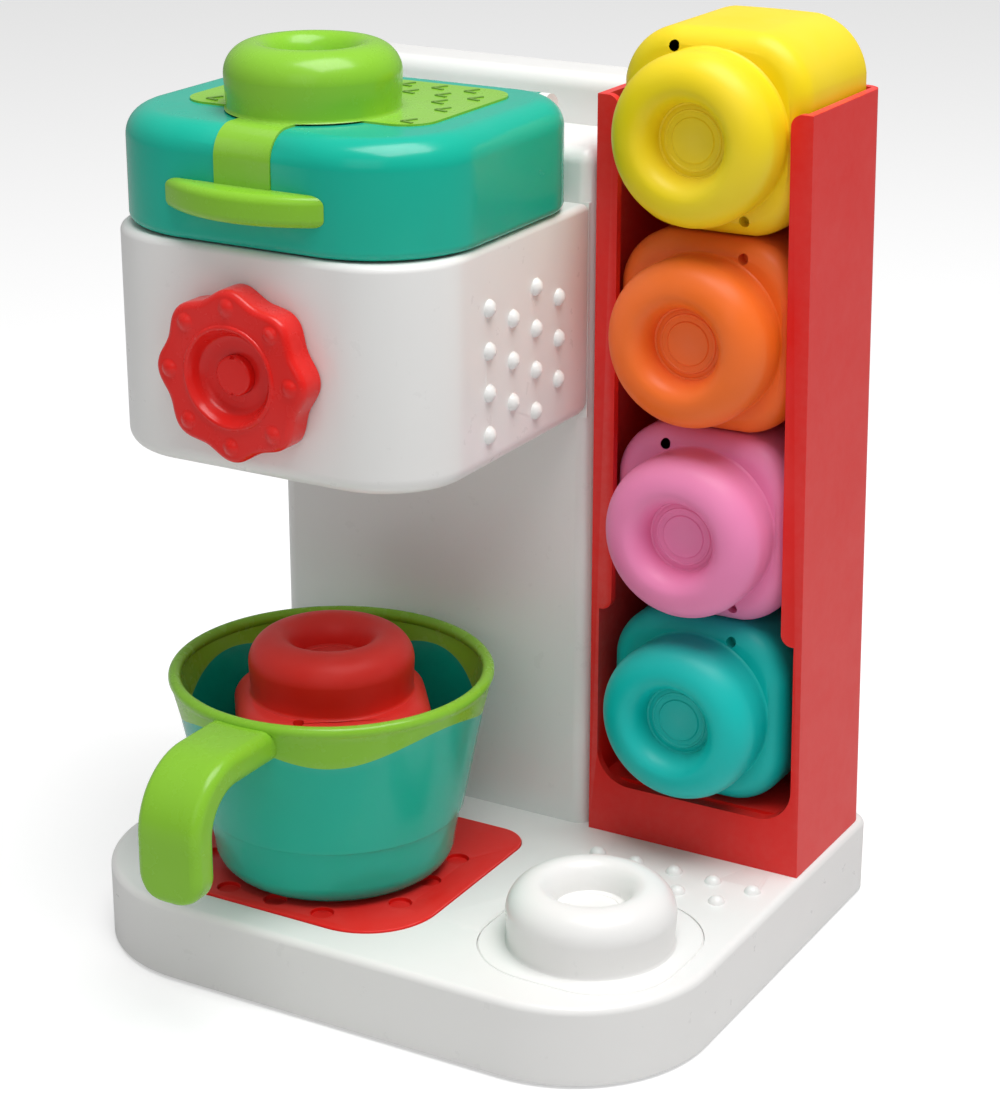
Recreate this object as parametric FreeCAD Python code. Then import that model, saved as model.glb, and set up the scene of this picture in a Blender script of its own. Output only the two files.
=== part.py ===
import FreeCAD, Part
import math
import os

# Toy coffee maker with a lidded head, a turning dial, a mug and five stacking pods.
# Millimetres, +Z up, +Y to the back, +X to the right when facing the dial.
# Pieces are drawn from the centre of the base's footprint; the finished pieces are moved
# along Y so that the origin is on the floor under the centre of the whole toy's box.

V = FreeCAD.Vector
X_AXIS = V(1, 0, 0)
Y_AXIS = V(0, 1, 0)
Z_AXIS = V(0, 0, 1)

# General mouldings
WALL = 2.5
SLIP = 0.3
SEAT = 0.02
RUN = 0.08

# Widths from left to right: margin, column, gap, rack, margin
COLUMN_HALF = 51.2
RACK_W = 65.3
SIDE_MARGIN = 12.4
RACK_GAP = 1.4
RACK_MARGIN = 1.5
BASE_X = (SIDE_MARGIN + 2 * COLUMN_HALF + RACK_GAP + RACK_W + RACK_MARGIN) / 2
MID_X = SIDE_MARGIN + COLUMN_HALF - BASE_X
RACK_LEFT = MID_X + COLUMN_HALF + RACK_GAP
RACK_RIGHT = RACK_LEFT + RACK_W

# Base
BASE_Y = 74.4
BASE_TOP = 23.2
BASE_EDGE = 1.0
BASE_FRONT_R = 40.0
BASE_BACK_R = 6.0
BASE_FILLET = 2.2
BASE_SEAT_DEPTH = 1.8
SEAT_FLOOR = 2.0
PLATE_T = 2.2
PLATE_Z = 1.6
FOOT_R = 7.0
FOOT_INSET = 24.0
FOOT_SINK = 0.6
DOME_R = 2.4
DOME_H = 1.9
BASE_DOME_PITCH = 12.0
BASE_DOME_X = RACK_LEFT + 10.0
BASE_DOME_Y = 11.7
BASE_DOME_ROW = 10.3

# Column and head share one centre line
COLUMN_FRONT = 25.4
BACK_Y = 71.2
LEDGE_Z = 220.5
PANEL_FRONT = 53.8
COLUMN_TOP = 234.3
COLUMN_R = 4.5
COVER_T = 2.5
HEAD_HALF = COLUMN_HALF - 1.0
HEAD_FRONT = -62.9
HEAD_BOTTOM = 146.4
HEAD_TOP = 206.2
HEAD_R = 23.9
HEAD_LOW_R = 5.0
HEAD_HIGH_R = 2.0
SIDE_DOME_Y = -28.0
SIDE_DOME_Z = 190.0
SIDE_DOME_PITCH_Y = 12.2
SIDE_DOME_PITCH_Z = 11.2

# Pods and the rings that they stack on
POD_HALF = 26.7
POD_R = 17.0
POD_DEPTH = 41.7
POD_FRONT_R = 6.0
POD_BACK_R = 2.5
POD_GAP = 0.4
STUD_R = 22.8
STUD_FOOT_R = 22.2
STUD_FOOT_H = 1.0
STUD_H = 16.8
STUD_ROLL = 8.0
DISH_R = 9.8
DISH_DEPTH = 7.4
SOCKET_PLAY = 0.6
SOCKET_DEPTH = 19.6
AIR_HOLE_R = 1.5
AIR_HOLE_X = 10.5
AIR_HOLE_Z = 21.8

# Rack for four pods
RACK_FRONT = 25.0
RACK_TOP = 235.9
RACK_LEAN = 3.9
RACK_WALL = 2.4
RACK_BACK_R = 5.0
RACK_OPEN = 5.0
RACK_FLOOR = 39.6
RACK_SILL = 38.6
RACK_SILL_R = 10.0
FLANGE_W = 6.2
FLANGE_END = 91.5
FLANGE_R = 3.2
POD_X = RACK_LEFT + 31.6

# Mug and its tray
MUG_Y = -27.6
MUG_TOP = 81.6
MUG_RIM_R = 44.1
MUG_FOOT_R = 27.5
MUG_LOW_R = 33.6
MUG_GROOVE_Z = 41.5
MUG_GROOVE_R = 35.4
MUG_STEP = 0.8
MUG_WALL = 2.2
MUG_FLOOR = 33.0
MUG_LIP = 1.7
WAVE_TOP = 76.0
WAVE_LOW = 69.8
WAVE_R = 60.0
WAVE_TURN = 32.0
WAVE_SPAN = 60.0
HANDLE_REACH = 78.7
HANDLE_W = 19.5
HANDLE_T = 9.1
HANDLE_END = 43.4
HANDLE_END_R = 8.0
HANDLE_TOP = 80.8
HANDLE_R = 20.0
HANDLE_BEVEL = 2.2
TRAY_HALF_X = 41.9
TRAY_HALF_Y = 37.8
TRAY_Y = -26.3
TRAY_FRONT_R = 21.0
TRAY_BACK_R = 9.5
TRAY_T = 2.4
TRAY_HOLE_R = 3.2
TRAY_HOLE_DEPTH = 1.2
TRAY_HOLE_PITCH = 15.3

# Base stacking ring
RING_X = RACK_LEFT + 32.2
RING_Y = -34.3
RING_PAD = 28.0
RING_PAD_R = 22.0

# Chute, drop doors and the gear that opens them
WELL_HALF_X = HEAD_HALF - 15.7
WELL_FRONT = -50.7
WELL_BACK = 8.3
WELL_WALL = 2.0
WELL_BOTTOM = 150.0
WELL_CORNER_R = 2.0
DECK_Z = 202.0
DECK_T = 2.4
MOUTH_HALF_X = WELL_HALF_X - 5.5
MOUTH_R = 10.0
DOOR_Z = HEAD_BOTTOM + 18.6
DOOR_SHAFT_X = WELL_HALF_X - 3.5
DOOR_BARREL_R = 3.0
DOOR_PIVOT_R = 2.0
DOOR_T = 2.0
DOOR_GAP = 0.6
DOOR_TURN = 88.0
PINION_R = 7.0
TOOTH_MODULE = 1.0
GEAR_T = 2.6
GEAR_Y = -55.7
PRESSURE = 20.0
BACKLASH = 0.3
TOOTH_UP = 0.85
TOOTH_DOWN = 1.1
DIAL_TURN = 80.0

# Dial
DIAL_Z = DOOR_Z + 10.4
DIAL_R = 22.6
DIAL_T = 8.2
DIAL_LOBES = 8
DIAL_CUT_R = 16.0
DIAL_CUT_AT = 36.8
DIAL_LOBE_R = 2.4
DIAL_AXLE_R = 5.0
DIAL_BORE = 8.0
DIAL_DISH_R = 12.0
DIAL_DISH = 4.2
DIAL_CAP_R = 5.2
DIAL_BUMP_R = 2.0
DIAL_BUMP_AT = 18.2
CRANK_R = 12.0
CRANK_T = 2.2
CRANK_PIN_R = 2.0
CRANK_SCREW_L = 6.0
CRANK_HEAD_R = 2.4
CRANK_PIN_PLAY = 0.4
NOTCH_R = 1.6
AXLE_BOSS_R = 8.5
AXLE_BOSS_H = 1.9
YOKE_HALF = 14.0
YOKE_ABOVE = 6.0
RAIL_HALF = 1.7
RAIL_PLAY = 0.4
LEAF_T = 1.4
LEAF_SPAN = 19.0
LEAF_POST_X = 16.0
LEAF_POST_R = 3.0
LEAF_POST_H = 4.5
LEAF_ABOVE = 4.0

# Lid
LID_HALF = COLUMN_HALF - 0.6
LID_FRONT = -62.4
LID_BACK = 24.7
LID_BOTTOM = 206.5
LID_TOP = 236.2
LID_FRONT_R = 30.0
LID_BACK_R = 19.0
LID_TOP_R = 7.5
LID_LOW_R = 2.5
LID_WALL = 2.4
INLAY_PROUD = 0.5
INLAY_SUNK = 1.2
PANEL_HALF = 36.5
PANEL_Y0 = -39.0
PANEL_Y1 = 12.5
PANEL_R = 9.0
BAND_HALF = 8.3
LIP_HALF = 23.7
LIP_REACH = 7.5
LIP_Z = 214.2
LIP_T = 8.2
LID_STUD_Y = -29.9
HINGE_Y = 32.5
HINGE_Z = 228.2
HINGE_X = 24.6
KNUCKLE_W = 13.0
KNUCKLE_R = 4.6
EAR_T = 3.0
HINGE_PIN_R = 1.5

# Screws
SCREW_R = 1.4
SCREW_HEAD_R = 2.9
SCREW_HEAD_H = 1.8
BOSS_R = 3.6
BOSS_H = 12.0
SCREW_L = 10.0
STUD_SCREW_L = 8.0
CROSS_W = 0.8
CROSS_L = 3.5
CROSS_DEPTH = 0.9
HEAD_SINK = 0.9
SIDE_BOLT_INSET = 13.0
BACK_BOLT_INSET_X = 27.0
BACK_BOLT_INSET_Y = 12.0
FRONT_BOLT_X = 48.0
FRONT_BOLT_INSET = 14.0
TOWER_BOLT_X = 29.2
RACK_BOLT_X = 22.0
BOLT_EDGE = 10.0
COVER_BOLT_INSET = 8.0
COVER_BOLT_HEIGHTS = (34.0, 125.0, 224.5)
HEAD_BOLT_X = HEAD_HALF - 10.2
HEAD_BOLT_LOW = 10.0
HEAD_BOLT_HIGH = 14.0
DECK_BOLT_X = HEAD_HALF - 8.2
DECK_BOLT_Y = (-30.0, 14.0)
STUD_BOLT_X = 14.0

BACK_INNER = BACK_Y - COVER_T
FRAME_SHIFT = (HANDLE_REACH - MUG_Y - BASE_Y) / 2
STROKE = math.radians(DOOR_TURN) * PINION_R
CRANK_PIN_AT = STROKE / (2 * math.sin(math.radians(DIAL_TURN / 2)))


def box(x0, x1, y0, y1, z0, z1):
    return Part.makeBox(x1 - x0, y1 - y0, z1 - z0, V(x0, y0, z0))


def rod(start, axis, radius, length):
    return Part.makeCylinder(radius, length, start, axis)


def cone(start, axis, r0, r1, length):
    return Part.makeCone(r0, r1, length, start, axis)


def join(shapes):
    """Fuse a list of shapes into one."""
    return shapes[0].multiFuse(shapes[1:]).removeSplitter() if len(shapes) > 1 else shapes[0]


def loop(points):
    """Closed flat face through corner points."""
    return Part.Face(Part.makePolygon(points + [points[0]]))


def rounded_face(x0, x1, y0, y1, radii):
    """Flat rectangle at z = 0 with its own radius at each corner:
    front left, front right, back right, back left."""
    fl, fr, br, bl = radii
    k = math.sqrt(0.5)
    corners = [(x0, y0, fl, 1, 1), (x1, y0, fr, -1, 1), (x1, y1, br, -1, -1), (x0, y1, bl, 1, -1)]
    spans = []
    for number, (x, y, r, sx, sy) in enumerate(corners):
        along_y = V(x, y + sy * r, 0)
        along_x = V(x + sx * r, y, 0)
        middle = V(x + sx * r * (1 - k), y + sy * r * (1 - k), 0)
        first, last = (along_y, along_x) if number % 2 == 0 else (along_x, along_y)
        spans.append((first, middle, last))
    edges = []
    for number, (first, middle, last) in enumerate(spans):
        edges.append(Part.Arc(first, middle, last).toShape())
        following = spans[(number + 1) % 4][0]
        if last.distanceToPoint(following) > 1e-6:
            edges.append(Part.makeLine(last, following))
    return Part.Face(Part.Wire(edges))


def slab(x0, x1, y0, y1, z0, z1, radii):
    """Upright plate with rounded vertical corners."""
    face = rounded_face(x0, x1, y0, y1, radii)
    face.translate(V(0, 0, z0))
    return face.extrude(V(0, 0, z1 - z0))


def edges_at(shape, z):
    """Edges that lie wholly at one height."""
    found = []
    for edge in shape.Edges:
        bound = edge.BoundBox
        if abs(bound.ZMin - z) < 1e-4 and abs(bound.ZMax - z) < 1e-4:
            found.append(edge)
    return found


def spun(face, centre):
    """Solid of revolution of a profile in the XZ plane about the Z axis, moved to its centre."""
    solid = face.revolve(V(0, 0, 0), Z_AXIS, 360)
    solid.translate(centre)
    return solid


def arc(a, b, c):
    return Part.Arc(V(*a), V(*b), V(*c)).toShape()


def line(a, b):
    return Part.makeLine(V(*a), V(*b))


def facing_front(shape, centre):
    """Turn a piece modelled upright so that its top faces the front, then move it."""
    shape.rotate(V(0, 0, 0), X_AXIS, 90)
    shape.translate(centre)
    return shape


def stud():
    """Ring that a pod stacks on: a straight foot, a rolled rim and a dished middle."""
    waist = STUD_H - STUD_ROLL
    crest = STUD_R - STUD_ROLL
    k = math.sqrt(0.5)
    rim = (STUD_R - STUD_ROLL * (1 - k), 0, STUD_H - STUD_ROLL * (1 - k))
    floor = STUD_H - DISH_DEPTH
    fall = crest - DISH_R
    side = (crest - fall * k, 0, floor + DISH_DEPTH * k)
    edges = [line((0, 0, 0), (STUD_FOOT_R, 0, 0)),
             line((STUD_FOOT_R, 0, 0), (STUD_R, 0, waist)),
             arc((STUD_R, 0, waist), rim, (crest, 0, STUD_H)),
             arc((crest, 0, STUD_H), side, (DISH_R, 0, floor)),
             line((DISH_R, 0, floor), (0, 0, floor)),
             line((0, 0, floor), (0, 0, 0))]
    return spun(Part.Face(Part.Wire(edges)), V(0, 0, 0))


def squircle(half, radius, z0, z1):
    return slab(-half, half, -half, half, z0, z1, (radius,) * 4)


def pod(hole_side):
    """Soft stacking pod standing upright: body, ring on top, socket below, two air holes."""
    body = squircle(POD_HALF, POD_R, 0, POD_DEPTH)
    body = body.makeFillet(POD_FRONT_R, edges_at(body, POD_DEPTH))
    body = body.makeFillet(POD_BACK_R, edges_at(body, 0))
    ring = stud()
    ring.translate(V(0, 0, POD_DEPTH))
    foot = rod(V(0, 0, POD_DEPTH - STUD_FOOT_H), Z_AXIS, STUD_FOOT_R, STUD_FOOT_H)
    solid = join([body, foot, ring])
    solid = solid.cut(rod(V(0, 0, 0), Z_AXIS, STUD_R + SOCKET_PLAY, SOCKET_DEPTH))
    for turn in (1, -1):
        at = V(hole_side * turn * AIR_HOLE_X, turn * AIR_HOLE_Z, POD_DEPTH - 3)
        solid = solid.cut(rod(at, Z_AXIS, AIR_HOLE_R, 6))
    return solid


def dome(height=DOME_H, radius=DOME_R):
    """Low round stud, modelled pointing up and sunk a little for its seat."""
    ball_r = (radius * radius + height * height) / (2 * height)
    ball = Part.makeSphere(ball_r, V(0, 0, height - ball_r))
    return ball.common(box(-radius, radius, -radius, radius, -0.4, height))


def screw(start, axis, length):
    """Pan-head screw: the head's top is at start, the shank runs along axis."""
    shank = rod(start, axis, SCREW_R, SCREW_HEAD_H + length)
    head = rod(start, axis, SCREW_HEAD_R, SCREW_HEAD_H)
    solid = shank.fuse(head)
    side = axis.cross(X_AXIS if abs(axis.x) < 0.5 else Y_AXIS)
    other = axis.cross(side)
    for along, across in ((side, other), (other, side)):
        corner = start - along * (CROSS_L / 2) - across * (CROSS_W / 2)
        corners = [corner, corner + along * CROSS_L,
                   corner + along * CROSS_L + across * CROSS_W, corner + across * CROSS_W]
        solid = solid.cut(loop(corners).extrude(axis * CROSS_DEPTH))
    return solid


def base_bolt_places():
    """Where the cover under the base screws on."""
    half = [(BASE_X - SIDE_BOLT_INSET, 0), (BASE_X - BACK_BOLT_INSET_X, BASE_Y - BACK_BOLT_INSET_Y),
            (FRONT_BOLT_X, FRONT_BOLT_INSET - BASE_Y)]
    return [(side * x, y) for x, y in half for side in (-1, 1)]


def tower_bolt_places():
    """Where the column stands on the base, seen from above."""
    return [(MID_X + side * TOWER_BOLT_X, y) for side in (-1, 1)
            for y in (COLUMN_FRONT + BOLT_EDGE, BACK_INNER - BOLT_EDGE)]


def rack_bolt_places():
    middle = (RACK_LEFT + RACK_RIGHT) / 2
    return [(middle + side * RACK_BOLT_X, y) for side in (-1, 1)
            for y in (RACK_FRONT + BOLT_EDGE, BACK_Y - BOLT_EDGE)]


def cover_bolt_places():
    """Where the back cover screws on, as X and Z."""
    x = COLUMN_HALF - COVER_BOLT_INSET
    return [(MID_X + side * x, z) for side in (-1, 1) for z in COVER_BOLT_HEIGHTS]


def head_bolt_places():
    """Where the column holds the head, as X and Z."""
    return [(MID_X + side * HEAD_BOLT_X, z) for side in (-1, 1)
            for z in (HEAD_BOTTOM + HEAD_BOLT_LOW, HEAD_TOP - HEAD_BOLT_HIGH)]


def tray_outline(grow, z0, z1):
    return slab(MID_X - TRAY_HALF_X - grow, MID_X + TRAY_HALF_X + grow,
                TRAY_Y - TRAY_HALF_Y - grow, TRAY_Y + TRAY_HALF_Y + grow, z0, z1,
                (TRAY_FRONT_R + grow, TRAY_FRONT_R + grow, TRAY_BACK_R + grow, TRAY_BACK_R + grow))


def ring_pad(grow, z0, z1):
    pad = squircle(RING_PAD + grow, RING_PAD_R + grow, z0, z1)
    pad.translate(V(RING_X, RING_Y, 0))
    return pad


def base_shell():
    radii = (BASE_FRONT_R, BASE_FRONT_R, BASE_BACK_R, BASE_BACK_R)
    shell = slab(-BASE_X, BASE_X, -BASE_Y, BASE_Y, BASE_EDGE, BASE_TOP, radii)
    shell = shell.makeFillet(BASE_FILLET, edges_at(shell, BASE_TOP))
    inner = tuple(r - WALL for r in radii)
    ceiling = BASE_TOP - WALL
    hollow = slab(WALL - BASE_X, BASE_X - WALL, WALL - BASE_Y, BASE_Y - WALL, BASE_EDGE, ceiling, inner)
    seat = BASE_TOP - BASE_SEAT_DEPTH
    for outline in (tray_outline, ring_pad):
        hollow = hollow.cut(outline(WALL, seat - SEAT_FLOOR, ceiling))
    shell = shell.cut(hollow)
    for outline in (tray_outline, ring_pad):
        shell = shell.cut(outline(SLIP / 2, seat, BASE_TOP))
    posts = [rod(V(x, y, PLATE_Z + PLATE_T), Z_AXIS, BOSS_R, ceiling - PLATE_Z - PLATE_T + SLIP)
             for x, y in base_bolt_places()]
    shell = join([shell] + posts)
    for x, y in base_bolt_places():
        shell = shell.cut(rod(V(x, y, PLATE_Z), Z_AXIS, SCREW_R + SEAT, SCREW_L + PLATE_T))
    for x, y in tower_bolt_places() + rack_bolt_places():
        shell = shell.cut(rod(V(x, y, ceiling - 1), Z_AXIS, SCREW_R + SEAT, WALL + 2))
    domes = []
    for row, count in ((0, 5), (1, 4)):
        for step in range(count):
            bump = dome()
            x = BASE_DOME_X + (step + row / 2) * BASE_DOME_PITCH
            bump.translate(V(x, BASE_DOME_Y - row * BASE_DOME_ROW, BASE_TOP))
            domes.append(bump)
    outside_ring = [bump for bump in domes if bump.distToShape(ring_pad(SLIP, seat, BASE_TOP))[0] > 0]
    return join([shell] + outside_ring)


def foot_places():
    return [(sx * (BASE_X - FOOT_INSET), sy * (BASE_Y - FOOT_INSET)) for sx in (-1, 1) for sy in (-1, 1)]


def base_plate():
    inset = WALL + SLIP
    radii = tuple(r - inset for r in (BASE_FRONT_R, BASE_FRONT_R, BASE_BACK_R, BASE_BACK_R))
    plate = slab(inset - BASE_X, BASE_X - inset, inset - BASE_Y, BASE_Y - inset,
                 PLATE_Z, PLATE_Z + PLATE_T, radii)
    for x, y in foot_places():
        plate = plate.cut(rod(V(x, y, PLATE_Z), Z_AXIS, FOOT_R + SEAT, FOOT_SINK))
    for x, y in base_bolt_places():
        plate = plate.cut(rod(V(x, y, PLATE_Z), Z_AXIS, SCREW_R + SEAT, PLATE_T))
        plate = plate.cut(rod(V(x, y, PLATE_Z), Z_AXIS, SCREW_HEAD_R + SLIP, HEAD_SINK))
    return plate


def rubber_feet():
    feet = []
    for x, y in foot_places():
        foot = rod(V(x, y, 0), Z_AXIS, FOOT_R, PLATE_Z + FOOT_SINK)
        feet.append(foot.makeFillet(0.6, edges_at(foot, 0)))
    return Part.makeCompound(feet)


def base_screws():
    top = PLATE_Z + HEAD_SINK - SCREW_HEAD_H
    return Part.makeCompound([screw(V(x, y, top), Z_AXIS, SCREW_L) for x, y in base_bolt_places()])


def stacking_ring():
    ring = stud()
    ring.translate(V(RING_X, RING_Y, BASE_TOP))
    return ring.fuse(ring_pad(0, BASE_TOP - BASE_SEAT_DEPTH, BASE_TOP)).removeSplitter()


def drip_tray():
    bottom = BASE_TOP - BASE_SEAT_DEPTH
    top = bottom + TRAY_T
    tray = tray_outline(0, bottom, top)
    tray = tray.makeFillet(0.5, edges_at(tray, top))
    for row in range(5):
        for column in range(5):
            x = MID_X + (column - 2) * TRAY_HOLE_PITCH
            y = TRAY_Y + (row - 2) * TRAY_HOLE_PITCH - 1.2
            if row in (0, 4) and column in (0, 4):
                continue
            tray = tray.cut(rod(V(x, y, top - TRAY_HOLE_DEPTH), Z_AXIS, TRAY_HOLE_R, TRAY_HOLE_DEPTH))
    return tray


def tower_profile(inset, back):
    """Side outline of the column with its lid ledge and upper panel, as a face across X."""
    y0 = COLUMN_FRONT + inset
    y1 = PANEL_FRONT + inset
    low = BASE_TOP + inset
    x = MID_X - COLUMN_HALF + inset
    corners = [(y0, low), (y0, LEDGE_Z - inset), (y1, LEDGE_Z - inset), (y1, COLUMN_TOP - inset),
               (back, COLUMN_TOP - inset), (back, low)]
    return loop([V(x, y, z) for y, z in corners])


def is_outer_tower_edge(edge):
    """Front uprights, ledge rim and panel rim: the edges that fingers meet."""
    b = edge.BoundBox
    side = abs(abs(b.Center.x - MID_X) - COLUMN_HALF) < 0.01
    flat = b.ZLength < 0.01
    if b.XLength > 1:
        at_ledge = abs(b.YMin - COLUMN_FRONT) < 0.01 and abs(b.ZMin - LEDGE_Z) < 0.01
        at_top = abs(b.YMin - PANEL_FRONT) < 0.01 and abs(b.ZMin - COLUMN_TOP) < 0.01
        return at_ledge or at_top
    at_front = abs(b.YMax - COLUMN_FRONT) < 0.01
    on_panel = abs(b.YMax - PANEL_FRONT) < 0.01 and b.ZLength < COLUMN_TOP - LEDGE_Z + 1
    rim = flat and b.ZMin > BASE_TOP + 1
    return side and (at_front or on_panel or rim)


def tower_shell():
    outer = tower_profile(0, BACK_INNER).extrude(V(2 * COLUMN_HALF, 0, 0))
    outer = outer.makeFillet(COLUMN_R, [e for e in outer.Edges if is_outer_tower_edge(e)])
    pad = box(MID_X - HEAD_HALF, MID_X + HEAD_HALF, COLUMN_FRONT, COLUMN_FRONT + COLUMN_R + 1,
              HEAD_BOTTOM, HEAD_TOP)
    outer = outer.fuse(pad)
    hollow = tower_profile(WALL, BACK_INNER).extrude(V(2 * (COLUMN_HALF - WALL), 0, 0))
    shell = outer.cut(hollow)
    parts = [shell]
    for x, z in cover_bolt_places():
        reach = PANEL_FRONT if z > LEDGE_Z else COLUMN_FRONT
        parts.append(rod(V(x, reach + WALL / 2, z), Y_AXIS, BOSS_R, BACK_INNER - reach - WALL / 2))
    for x, y in tower_bolt_places():
        parts.append(rod(V(x, y, BASE_TOP + WALL / 2), Z_AXIS, BOSS_R, BOSS_H))
    for side in (-1, 1):
        middle = MID_X + side * HINGE_X
        for ear in (-1, 1):
            near = KNUCKLE_W / 2 + SLIP
            x0 = middle + near if ear > 0 else middle - near - EAR_T
            parts.append(rod(V(x0, HINGE_Y, HINGE_Z), X_AXIS, KNUCKLE_R, EAR_T))
            parts.append(box(x0, x0 + EAR_T, HINGE_Y - KNUCKLE_R, HINGE_Y + KNUCKLE_R,
                             LEDGE_Z - 1, HINGE_Z))
    shell = join(parts)
    for x, z in cover_bolt_places():
        shell = shell.cut(rod(V(x, BACK_INNER - SCREW_L, z), Y_AXIS, SCREW_R + SEAT, SCREW_L))
    for x, y in tower_bolt_places():
        shell = shell.cut(rod(V(x, y, BASE_TOP), Z_AXIS, SCREW_R + SEAT, SCREW_L))
    for x, z in head_bolt_places():
        shell = shell.cut(rod(V(x, COLUMN_FRONT, z), Y_AXIS, SCREW_R + SEAT, WALL))
    return shell.cut(hinge_pins(SEAT))


def back_cover():
    x0 = MID_X - COLUMN_HALF
    cover = box(x0, x0 + 2 * COLUMN_HALF, BACK_INNER, BACK_Y, BASE_TOP, COLUMN_TOP)
    rim = [e for e in cover.Edges if abs(e.BoundBox.YMin - BACK_Y) < 0.01 and
           not (e.BoundBox.ZMax < BASE_TOP + 0.01)]
    cover = cover.makeFillet(1.8, rim)
    for x, z in cover_bolt_places():
        cover = cover.cut(rod(V(x, BACK_INNER, z), Y_AXIS, SCREW_R + SEAT, COVER_T))
        cover = cover.cut(rod(V(x, BACK_Y - SCREW_HEAD_H, z), Y_AXIS, SCREW_HEAD_R + 0.4, SCREW_HEAD_H))
    return cover


def cover_screws():
    return Part.makeCompound([screw(V(x, BACK_Y, z), -Y_AXIS, SCREW_L) for x, z in cover_bolt_places()])


def tower_screws():
    top = BASE_TOP - WALL - SCREW_HEAD_H
    return Part.makeCompound([screw(V(x, y, top), Z_AXIS, SCREW_L) for x, y in tower_bolt_places()])


def rack_screws():
    top = BASE_TOP - WALL - SCREW_HEAD_H
    return Part.makeCompound([screw(V(x, y, top), Z_AXIS, SCREW_L) for x, y in rack_bolt_places()])


def head_screws():
    y = COLUMN_FRONT + WALL + SCREW_HEAD_H
    return Part.makeCompound([screw(V(x, y, z), -Y_AXIS, SCREW_L) for x, z in head_bolt_places()])


def head_shell():
    radii = (HEAD_R, HEAD_R, 0.5, 0.5)
    x0 = MID_X - HEAD_HALF
    x1 = MID_X + HEAD_HALF
    shell = slab(x0, x1, HEAD_FRONT, COLUMN_FRONT, HEAD_BOTTOM, HEAD_TOP, radii)
    low = [e for e in edges_at(shell, HEAD_BOTTOM) if e.BoundBox.YMin < COLUMN_FRONT - 1]
    shell = shell.makeFillet(HEAD_LOW_R, low)
    high = [e for e in edges_at(shell, HEAD_TOP) if e.BoundBox.YMin < COLUMN_FRONT - 1]
    shell = shell.makeFillet(HEAD_HIGH_R, high)
    inner_r = HEAD_R - WALL
    shell = shell.cut(slab(x0 + WALL, x1 - WALL, HEAD_FRONT + WALL, COLUMN_FRONT - WALL,
                           HEAD_BOTTOM + WALL, HEAD_TOP, (inner_r, inner_r, 1, 1)))
    mouth = slab(MID_X - WELL_HALF_X, MID_X + WELL_HALF_X, WELL_FRONT, WELL_BACK,
                 HEAD_BOTTOM, HEAD_BOTTOM + WALL, (WELL_CORNER_R,) * 4)
    shell = shell.cut(mouth)
    parts = [shell]
    parts.append(rod(V(MID_X, HEAD_FRONT + WALL, DIAL_Z), Y_AXIS, AXLE_BOSS_R, AXLE_BOSS_H))
    for x, z in head_bolt_places():
        parts.append(rod(V(x, COLUMN_FRONT - BOSS_H, z), Y_AXIS, BOSS_R, BOSS_H - WALL / 2))
    for x, y in deck_bolt_places():
        parts.append(rod(V(x, y, HEAD_BOTTOM + WALL / 2), Z_AXIS, BOSS_R,
                         DECK_Z - HEAD_BOTTOM - WALL / 2))
    for side in (-1, 1):
        post = V(MID_X + side * LEAF_POST_X, HEAD_FRONT + WALL / 2, DIAL_Z + CRANK_R + LEAF_ABOVE)
        parts.append(rod(post, Y_AXIS, LEAF_POST_R, LEAF_POST_H + WALL / 2))
    for step_y in range(4):
        count = 4 if step_y % 2 == 0 else 3
        for step_z in range(count):
            bump = dome()
            bump.rotate(V(0, 0, 0), Y_AXIS, 90)
            z = SIDE_DOME_Z - (step_z + (step_y % 2) / 2) * SIDE_DOME_PITCH_Z
            bump.translate(V(x1, SIDE_DOME_Y + step_y * SIDE_DOME_PITCH_Y, z))
            parts.append(bump)
    shell = join(parts)
    shell = shell.cut(rod(V(MID_X, HEAD_FRONT, DIAL_Z), Y_AXIS, DIAL_AXLE_R + RUN, 3 * WALL))
    for x, z in head_bolt_places():
        shell = shell.cut(rod(V(x, COLUMN_FRONT - SCREW_L, z), Y_AXIS, SCREW_R + SEAT, SCREW_L))
    for x, y in deck_bolt_places():
        shell = shell.cut(rod(V(x, y, DECK_Z - SCREW_L), Z_AXIS, SCREW_R + SEAT, SCREW_L))
    return shell


def deck_bolt_places():
    """Where the chute's deck screws onto posts in the head."""
    return [(MID_X + side * DECK_BOLT_X, y) for side in (-1, 1) for y in DECK_BOLT_Y]


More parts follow.
